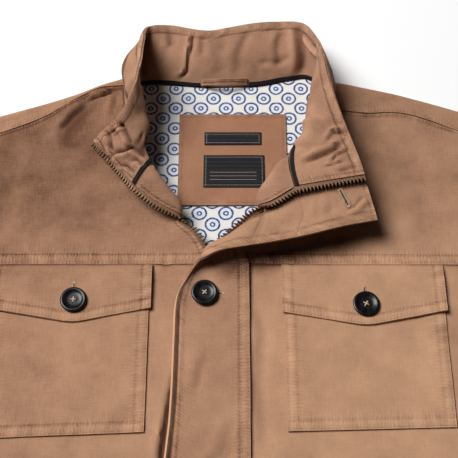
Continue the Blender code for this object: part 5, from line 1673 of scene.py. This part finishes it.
for side, size in POCKETS.items():
    sign, node = SIGN[side], f"pocket_{side}"
    across = np.linspace(0, 1, 92)
    xs = size["inner"] + (size["outer"] - size["inner"]) * across
    foot_y = size["foot_in"] + (size["foot_out"] - size["foot_in"]) * across
    ys = POCKET_TOP_Y + (foot_y - POCKET_TOP_Y) * across[::-1, None]
    points = spread(xs, ys, height_on(side, xs) + STEP)
    bag = settled(Panel(points, np.broadcast_to(UPWARD, points.shape)))
    inside = [held(bag.edge(edge)[0], 16.0) for edge in SIDES[:3]]
    full = np.prod([1 - (1 - share) ** 2 for share in inside], axis=0)
    places = bag.points[..., :2]
    bag.points[..., 2] += 0.9 * full * (1 + 0.5 * rolling(places, 40.0, 191))
    bag.points[..., 2] += 0.18 * rolling(places, 8.0, 193)
    sew(bag, -1, [dict(side=edge, rows=(1.8, 8.2), seed=195 + k, rise=0.4, draw=0.28)
                  for k, edge in enumerate(SIDES[:3])])
    cut(f"{node}_cloth", bag, CLOTH, washed_canvas, "shell")
    for edge in SIDES[:3]:
        stitch(bag, -1, CLOTH, f"{node}_stitch_{edge}", edge, (1.8, 8.2), seed=33)

    node = f"pocket_flap_{side}"
    ends = (abs(size["inner"]) - FLAP_SPARE, abs(size["button"][0]), abs(size["outer"]) + FLAP_SPARE)
    xs = sign * np.linspace(ends[0], ends[2], 96)
    low = np.interp(abs(xs), ends, (size["flap_in"], size["flap_point"], size["flap_out"]))
    low = low + 0.9 * bell(abs(xs) - ends[1], 5.0)
    down = np.linspace(1, 0, 44)[:, None]
    risen = np.minimum(1.0, down / RISEN)
    lift = STEP * risen * risen * (3 - 2 * risen) + 0.9 * np.sin(math.pi * np.minimum(1.0, down * 1.1)) ** 2
    high = height_on(side, xs) + GAP + (CLOTH + FLAP) / 2 + lift
    points = spread(xs, (low + 1.0) * down - 1.0, high)
    over = settled(Panel(points, np.broadcast_to(UPWARD, points.shape)))
    wave = np.exp(-over.edge("foot")[0] / 7.0) * (0.6 + 0.8 * noise(over.u[..., None], 46.0, 203))
    over.points[..., 2] += 0.5 + 0.7 * wave + 0.15 * rolling(over.points[..., :2], 9.0, 205)
    sew(over, -1, [dict(side=edge, rows=(1.8, 8.0), seed=207 + k, rise=0.3, draw=0.27)
                   for k, edge in enumerate(SIDES[:3])])
    # Painted shade along the flap's top, under the yoke's edge.
    over.wash_and_shade -= 0.45 * bell(over.edge("top")[0], 1.5)
    cut(f"{node}_cloth", over, FLAP, washed_canvas, "shell")
    for edge in SIDES[:3]:
        stitch(over, -1, FLAP, f"{node}_stitch_{edge}", edge, (1.8, 8.0), seed=35)

# %% [markdown]
# ## Buttons and buttonholes
# The buttons are turned from dark horn: a rolled rim round a dished middle with four holes. One is
# modelled from a cylinder whose top face is raised ring by ring, and its holes are cut with a Boolean.
# Each copy then takes the place and the lean of its own CAD button. Beside each, the end of the
# buttonhole shows: a slit between two walls of close stitches, with a bar at its end.

# %% One button
FOOT_R, HOLE_R, HOLE_OUT, HOLES = 10.1, 1.05, 2.5, 4
# Each ring's radius, and how far it is above the one before.
BUTTON_RINGS = ((11.4, 0.5), (11.7, 0.7), (11.5, 0.6), (10.8, 0.5), (9.8, 0.1), (8.8, -0.35),
                (7.7, -0.6), (6.5, -0.4), (5.0, -0.15), (4.0, 0.0))


def make_button():
    """A button that lies on the origin, in millimetres: rim, dish and four holes."""
    pick()
    bpy.ops.mesh.primitive_cylinder_add(vertices=48, radius=FOOT_R, depth=1.0, location=(0, 0, 0.5))
    button = bpy.context.object
    bpy.ops.object.transform_apply(location=True)
    select_faces(button, lambda face: face.normal.z > 0.9)
    radius = FOOT_R
    for wide, up in BUTTON_RINGS:
        bpy.ops.mesh.extrude_region_move(TRANSFORM_OT_translate={"value": (0, 0, up)})
        bpy.ops.transform.resize(value=(wide / radius, wide / radius, 1.0), center_override=(0, 0, 0))
        radius = wide
    bpy.ops.object.mode_set(mode="OBJECT")
    for number in range(HOLES):
        turn = math.tau * (number + 0.5) / HOLES
        spot = (HOLE_OUT * math.cos(turn), HOLE_OUT * math.sin(turn), 2.0)
        bpy.ops.mesh.primitive_cylinder_add(vertices=14, radius=HOLE_R, depth=12.0, location=spot)
        drill = bpy.context.object
        pick(button)
        hole = button.modifiers.new("hole", "BOOLEAN")
        hole.operation, hole.object, hole.solver = "DIFFERENCE", drill, "EXACT"
        bpy.ops.object.modifier_apply(modifier=hole.name)
        bpy.data.objects.remove(drill)
    return button


BUTTON_SHAPE, BUTTON_FACES = shape_of(make_button())
print("a button has", len(BUTTON_FACES), "faces and is", BUTTON_SHAPE[:, 2].max().round(2), "mm thick")


# %% Buttons in their places
def button_place(node):
    """Middle of a CAD button's foot, and its three directions, in tailor's millimetres."""
    points = np.array([v.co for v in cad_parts[node].data.vertices]) / MM - PLACE
    middle = points.mean(axis=0)
    up = np.linalg.svd(points - middle)[2][2]
    up = up * np.sign(up[2])
    turn = unit(np.cross((0.0, 1.0, 0.0), up))
    low = ((points - middle) @ up).min()
    return middle + up * low, turn, np.cross(up, turn), up


SHANK_THREADS, SHANK_HIGH, SHANK_LONG = 7, 2.35, 6.4


def sewn_button(node, turned, raise_mm=0.9):
    """A button on its thread shank, with the crossed threads through its holes; gives the button's place."""
    spot, way, side_way, up = button_place(node)
    spot = spot + up * raise_mm
    c, s = math.cos(turned), math.sin(turned)
    way, side_way = c * way + s * side_way, c * side_way - s * way
    made = copies(node + "_horn", BUTTON_SHAPE, BUTTON_FACES,
                  *(row[None] for row in (spot, way, side_way, up)), horn)
    pick(made)
    bpy.ops.object.shade_smooth_by_angle(angle=math.radians(32))
    hang(made, "horn", node)
    number = np.arange(SHANK_THREADS)[:, None]
    turn = math.pi / 4 + math.pi / 2 * (number % 2)
    ways = np.cos(turn) * way + np.sin(turn) * side_way
    sides = np.cos(turn) * side_way - np.sin(turn) * way
    spots = spot + up * (SHANK_HIGH + 0.12 * (number % 3)) + sides * (number - 3) * 0.14
    hang(copies(node + "_thread", STITCH_SHAPE, STITCH_FACES, spots, ways, sides,
                np.repeat(up[None], SHANK_THREADS, axis=0), grey_thread,
                np.tile((SHANK_LONG / STITCH_LONG, 1.0, 1.2), (SHANK_THREADS, 1))), "horn")
    return spot


BUTTON_TURNS = dict(pocket_button_left=0.75, pocket_button_right=0.25, placket_button_1=0.1,
                    placket_button_2=0.9, placket_button_3=0.4, placket_button_4=1.3)
seats = {node: sewn_button(node, turned) for node, turned in BUTTON_TURNS.items()}
print("buttons at", {node: seat.round(1).tolist() for node, seat in seats.items()})


# %% Buttonholes
WALL_PITCH, BAR_PITCH, KEYHOLE_LONG, KEYHOLE_OUT = 0.52, 0.25, 4.2, 1.0


def surface_tree(name):
    """A piece's surface in tailor's millimetres, for laying things on it."""
    mesh = pieces[name].data
    corners = np.array([v.co for v in mesh.vertices]) / MM - PLACE
    return BVHTree.FromPolygons([Vector(p) for p in corners], [tuple(p.vertices) for p in mesh.polygons])


def on_surface(tree, x, y):
    """The top of a piece at x and y: the point and the way up from it."""
    spot, way, _, _ = tree.ray_cast(Vector((x, y, 200.0)), Vector((0, 0, -1)))
    if spot is None:
        raise ValueError(f"nothing lies at {x}, {y}")
    return np.array(spot), np.array(way) * (1 if way.z > 0 else -1)


def buttonhole(name, tree, start, end, keyhole=False, wide=1.5, up_by=0.12):
    """Two walls of close stitches along a slit, and a bar across its far end."""
    start, end = np.array(start, float), np.array(end, float)
    long = np.linalg.norm(end - start)
    step = (end - start) / long
    across = np.array((-step[1], step[0]))
    laid = []

    def lay(where, direction, length):
        """One stitch on the cloth, in a direction."""
        spot, up = on_surface(tree, *where)
        way = unit(np.array((*direction, 0.0)) - up * np.dot((*direction, 0.0), up))
        laid.append((spot + up * up_by, way, np.cross(up, way), up, (length / STITCH_LONG, 1.0, 1.2)))

    for mark in np.arange(0.0, long, WALL_PITCH):
        spread_out = 0.0
        if keyhole and mark > long - KEYHOLE_LONG:
            spread_out = KEYHOLE_OUT * math.sin(math.pi * (mark - long + KEYHOLE_LONG) / KEYHOLE_LONG)
        for way_out in (-1, 1):
            wobble = 0.12 * float(noise(np.array([[mark]]), 0.9, 5 + way_out)[0])
            out = wide / 2 + 0.35 + spread_out + wobble
            lay(start + step * mark + across * way_out * out, across, wide + 0.2)
    for number in range(5):
        lay(start - step * (0.3 + BAR_PITCH * number), across, wide * 2.4)
        if not keyhole:
            lay(end + step * (0.3 + BAR_PITCH * number), across, wide * 2.4)
    if keyhole:
        for turn in np.linspace(-1.2, 1.2, 9):
            out = step * math.cos(turn) + across * math.sin(turn)
            lay(end + out * 1.7, out, wide + 0.3)
    spots, ways, sides, ups, stretch = (np.array(rows) for rows in zip(*laid))
    made = copies(name, STITCH_SHAPE, STITCH_FACES, spots, ways, sides, ups, hole_thread, stretch)
    # The slit's dark opening is drawn as flat dark thread laid along it: a painted shadow.
    marks = np.arange(0.6, long - 0.4, 1.0)
    spots = np.array([on_surface(tree, *(start + step * mark))[0] for mark in marks])
    ways, sides, ups, stretch = (np.tile(row, (len(spots), 1)) for row in (
        (*step, 0.0), (*across, 0.0), (0.0, 0.0, 1.0), (0.8, 1.2 * wide, 0.5)))
    slit = copies(name + "_slit_shadow", STITCH_SHAPE, STITCH_FACES, spots + (0, 0, 0.04), ways, sides, ups,
                  dark_thread, stretch)
    hang(slit, "shell")
    return hang(made, "shell")


flap_tree = surface_tree("storm_flap_cloth")
for number in range(1, 5):
    x, y = seats[f"placket_button_{number}"][:2]
    buttonhole(f"placket_buttonhole_{number}", flap_tree, (x - 8, y), (x + 15.5, y), wide=1.1)
for side in SIGN:
    tree = surface_tree(f"pocket_flap_{side}_cloth")
    x, y = seats[f"pocket_button_{side}"][:2]
    buttonhole(f"pocket_buttonhole_{side}", tree, (x - 0.5, y - 8), (x - 0.5, y + 16.5), wide=1.1)
buttonhole("neck_buttonhole", flap_tree, (111.0, 59.0), (117.5, 44.5), keyhole=True, wide=2.3, up_by=0.25)

# %% [markdown]
# ## The slider
# The slider is closed under the storm flap, just below the open neck. It is a bronze body whose two
# plates straddle the teeth, with a bridge and a pull tab that hangs down the placket.

# %% Slider
low, high = (np.array(corner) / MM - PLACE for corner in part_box("zip_slider"))
middle = (low + high) / 2


def bevelled_block(name, size, place, bevel, finish):
    """A small cast block: a cube at its size, in place, with its edges rounded."""
    pick()
    bpy.ops.mesh.primitive_cube_add(size=1.0)
    block = bpy.context.object
    block.name = block.data.name = name
    edit_all()
    bpy.ops.transform.resize(value=tuple(s * MM for s in size))
    bpy.ops.transform.translate(value=tuple(to_frame(place)))
    bpy.ops.mesh.bevel(offset=bevel * MM, segments=3, affect="EDGES")
    bpy.ops.object.mode_set(mode="OBJECT")
    block.data.materials.append(finish)
    bpy.ops.object.shade_smooth_by_angle(angle=math.radians(35))
    return block


blocks = (((8.4, 12.5, 1.4), (0, 0, 0), 0.5), ((1.6, 7.5, 1.0), (0, 0.5, 0.9), 0.3),
          ((5.0, 17.0, 0.8), (0, -13.5, 0.5), 0.35))
parts = [bevelled_block(f"slider_part_{k}", size, middle + offset, bevel, bronze)
         for k, (size, offset, bevel) in enumerate(blocks)]
hang(joined(parts, "zip_slider_bronze"), "brass", "zip_slider")

# %% [markdown]
# ## Sleeves
# Each sleeve is a tube that lies flat beside the body, from its armhole down to a plain cuff. Some air
# stays in it, so it crowns a little, and it folds across at the elbow.

# %% Sleeves
SLEEVE_LENGTH, SLEEVE_LEAN, CUFF_WIDE, CUFF_SHIFT = 640.0, math.radians(34), 135.0, 0.08
SLEEVE_THICK, ARM_GAP, SHOULDER_OVER = 3.0, 0.5, 20.0
SLEEVE_ROWS, SLEEVE_COLUMNS, CUFF_HEM = 110, 46, 24.0
SLEEVE_FOLDS = as_rows(CREASE_COLUMNS, (
    (12.0, 2.2, ((180, 20), (205, 80), (215, 130))),
    (11.0, 3.0, ((300, 10), (318, 60), (312, 118))),
    (9.0, 2.6, ((344, 24), (330, 74), (346, 130))),
    (12.0, 2.0, ((430, 16), (446, 60), (438, 104))),
    (11.0, 1.6, ((520, 30), (540, 70), (536, 110))),
    (14.0, 2.4, ((90, 30), (108, 84), (100, 150))),
))
down = np.array((math.sin(SLEEVE_LEAN), -math.cos(SLEEVE_LEAN)))
out = np.array((math.cos(SLEEVE_LEAN), math.sin(SLEEVE_LEAN)))
shares = np.linspace(0, 1, SLEEVE_COLUMNS)
crown = (1 - (2 * shares - 1) ** 2) ** 0.5
for side, sign in SIGN.items():
    marks = np.abs(side_marks[side][::-1, :2])
    below = [(armhole_x(y), y) for y in (-12, -24, -40, -57, UNDERARM_Y)]
    hole = np.concatenate([[marks[0] + (0, SHOULDER_OVER)], marks, below]) + (ARM_GAP, 0)
    reach = along(hole)
    hole = read(shares * reach[-1], reach, hole)
    cuff = hole[0] + down * SLEEVE_LENGTH + out * CUFF_WIDE * CUFF_SHIFT
    ends = cuff - out * CUFF_WIDE * shares[:, None]
    rows = []
    for t in np.linspace(0, 1, SLEEVE_ROWS):
        line = hole * (1 - t) + ends * t
        wide = along(line)[-1]
        places = spread(t * SLEEVE_LENGTH, shares * wide)
        air = (1.2 + 4.2 * min(1.0, t * 8)) * crown
        fold = creases(places, SLEEVE_FOLDS) + 0.7 * rolling(places, 40.0, 221 + sign)
        fold += 0.3 * rolling(places, 15.0, 223)
        high = np.maximum(2.4, SLEEVE_THICK - CLOTH / 2 + air - fold * crown)
        top = np.c_[line, np.where(crown > 0.05, high, SLEEVE_THICK / 2)]
        bottom = np.c_[line, np.full(len(line), CLOTH / 2)][1:-1][::-1]
        rows.append(np.concatenate([top, bottom, top[:1]]) * (sign, 1, 1))
    rows = np.array(rows)
    ways = grid_normals(rows, 1)
    if ways[SLEEVE_ROWS // 2, SLEEVE_COLUMNS // 2, 2] > 0:
        ways = -ways
    tube = Panel(rows, ways)
    sew(tube, -1, [dict(side="top", rows=(CUFF_HEM,), seed=231, rise=0.25, draw=0.25)])
    tube.points[..., 2] = np.maximum(tube.points[..., 2], CLOTH / 2 + GAP)
    tube.wash_and_shade -= 0.3 * bell(tube.edge("foot")[0], 2.0)
    made = weld(from_grid(f"sleeve_{side}_cloth", tube, washed_canvas))
    hang(thicken(made, CLOTH), "shell", f"sleeve_{side}")
    stitch(tube, -1, CLOTH, f"cuff_stitch_{side}", "top", (CUFF_HEM,), seed=41)
    print(made.name, len(made.data.polygons), "faces")

# %% [markdown]
# ## The table
# A plain pale top, wide enough to fill the view from above and to light the garment from below.

# %% Table
TABLE_WIDE = 8.0
pick()
bpy.ops.mesh.primitive_plane_add(size=TABLE_WIDE, location=(0.0, 0.0, 0.0))
table = bpy.context.object
table.name = table.data.name = "table"
pale = new_finish("matt_white_table", Roughness=0.9, Base_Color=colour("#FBFBFB"))[0]
table.data.materials.append(pale)

# %% [markdown]
# ## Sizes
# The finished pieces are counted, with their triangles.

# %% Sizes
pick()
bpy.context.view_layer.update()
triangles = sum(sum(len(p.vertices) - 2 for p in piece.data.polygons) for piece in pieces.values())
print(len(pieces), "pieces,", triangles, "triangles")
